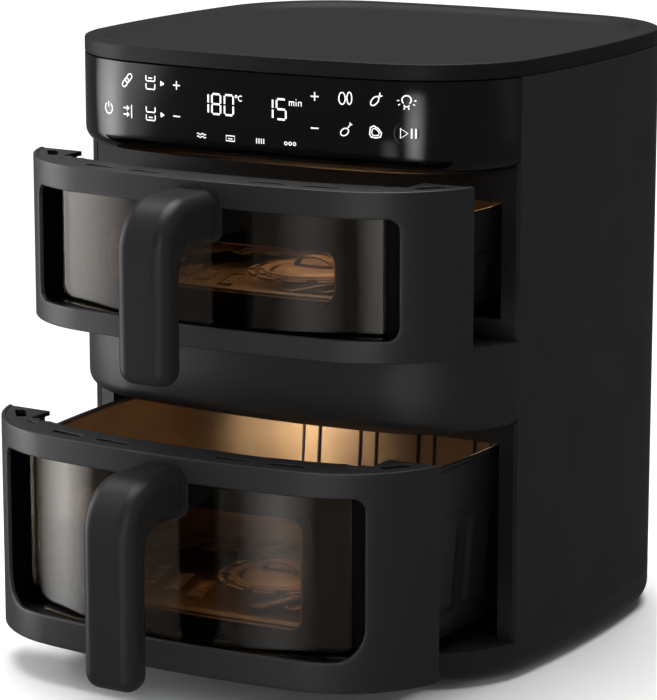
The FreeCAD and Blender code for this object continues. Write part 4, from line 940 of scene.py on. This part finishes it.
# the boss's steps, from its rim in: each radius and height over the plate
BOSS_STEPS = ((25.0, -0.2), (22.0, 1.2), (19.5, 1.7), (12.0, 1.9), (2.0, 2.0))

for tier, sizes in TIERS.items():
    (foot, rim), pull = sizes["pan"], sizes["pull"]
    low = foot + PAN_WALL + sizes["rise"]
    high = low + PLATE
    shift = PAN_INSET + PAN_DRAFT + PAN_WALL + 1.8
    middle_along = PLATE_CENTRE - pull
    edge = [(spot.x - out.x * shift, spot.y - out.y * shift - pull)
            for spot, out in outline(PAN_REAR, 4.0)]
    holes, frames = [], []
    for side in (1, -1):
        for column in range(4):
            for end in (1, -1):
                lean_by = side * end * 16.0
                across = side * (26.0 + column * COLUMN_STEP)
                along = middle_along + end * (52.0 - column * 6.5)
                for step in (-1, 0, 1):
                    spot = shifted([(0, step * HOLE_STEP)], across, along, lean_by)[0]
                    holes.append(shifted([(-2.0, -3.6), (2.0, -3.6), (2.0, 3.6), (-2.0, 3.6)],
                                         spot[0], spot[1], lean_by))
                frames.append(shifted([(-4.2, -16.0), (4.2, -16.0), (4.2, 16.0), (-4.2, 16.0)],
                                      across, along, lean_by))
    for radius, spacing, length in SLOT_RINGS:
        for start in range(0, 360, spacing):
            if radius > 60 and 35 < start % 180 < 145:
                continue
            arc = [(x, y + middle_along)
                   for x, y in turn_points((0, 0), radius, start + 3, start + 3 + length, 5)]
            share = 1 - SLOT_WIDTH / radius
            inner = [(x * share, middle_along + (y - middle_along) * share) for x, y in reversed(arc)]
            holes.append(arc + inner)
    raised = [cut_plate([edge] + holes, low, high, 0.3)]
    for ring in frames:
        mid = Vector((sum(x for x, y in ring) / 4, sum(y for x, y in ring) / 4))
        rows = []
        for x, y in ring:
            out = (Vector((x, y)) - mid).normalized()
            rows.append([(x + out.x * aside, y + out.y * aside, high + up)
                         for aside, up in ((1.3, -0.2), (0.5, 0.8), (-0.5, 0.8), (-1.3, -0.2))])
        raised.append(loft(rows, ring=True))
    radius = 30.0
    raised.append(loft([[(x * (1 + aside / radius), y * (1 + aside / radius) + middle_along, high + up)
                         for aside, up in ((2.6, -0.2), (1.2, 1.2), (-1.2, 1.2), (-2.6, -0.2))]
                        for x, y in turn_points((0, 0), radius, 0, 360, 60)[:-1]], ring=True))
    raised.append(loft([[(x, y + middle_along, high + up)
                         for x, y in turn_points((0, 0), radius, 0, 360, 48)[:-1]]
                        for radius, up in BOSS_STEPS]))
    tab = []
    for step in range(17):
        turn = math.pi * step / 16
        tab.append([(13.0 * math.cos(turn), middle_along + aside, high + 2.0 + 6.0 * math.sin(turn) + up)
                    for aside, up in ((-3.5, -0.5), (3.5, -0.5), (3.5, 0.5), (-3.5, 0.5))])
    raised.append(loft(tab))
    piece_of(f"{tier}_pressed_plate", raised, [worn_bronze], f"{tier}_plate_unit",
             (f"{tier}_crisper_plate",))
    dress(f"{tier}_plate_bumpers", silicone, 0.3)

# ---------------------------------------------------------------- lamp light in the bays
# Each bay's lamp is on: warm light pools on the coated walls and shows through the windows. Small
# lights stand in for most of what the lamps give.

BAY_LIGHTS = {
    "lower_bay_light": ((-0.06, -0.075, 0.136), (-0.05, 0.005, 0.095), (0.05, 0.02), 0.1, "#FFF1DE", 75),
    "lower_basket_glow": ((0.02, -0.125, 0.132), (0.02, -0.15, 0.03), (0.14, 0.04), 0.13, "#FFF1DE", 110),
    "upper_bay_light": ((0.0, -0.07, 0.279), (0.0, -0.095, 0.20), (0.16, 0.05), 0.22, "#FFF1DE", 130),
}
for name, setting in BAY_LIGHTS.items():
    set_lamp(name, *setting)
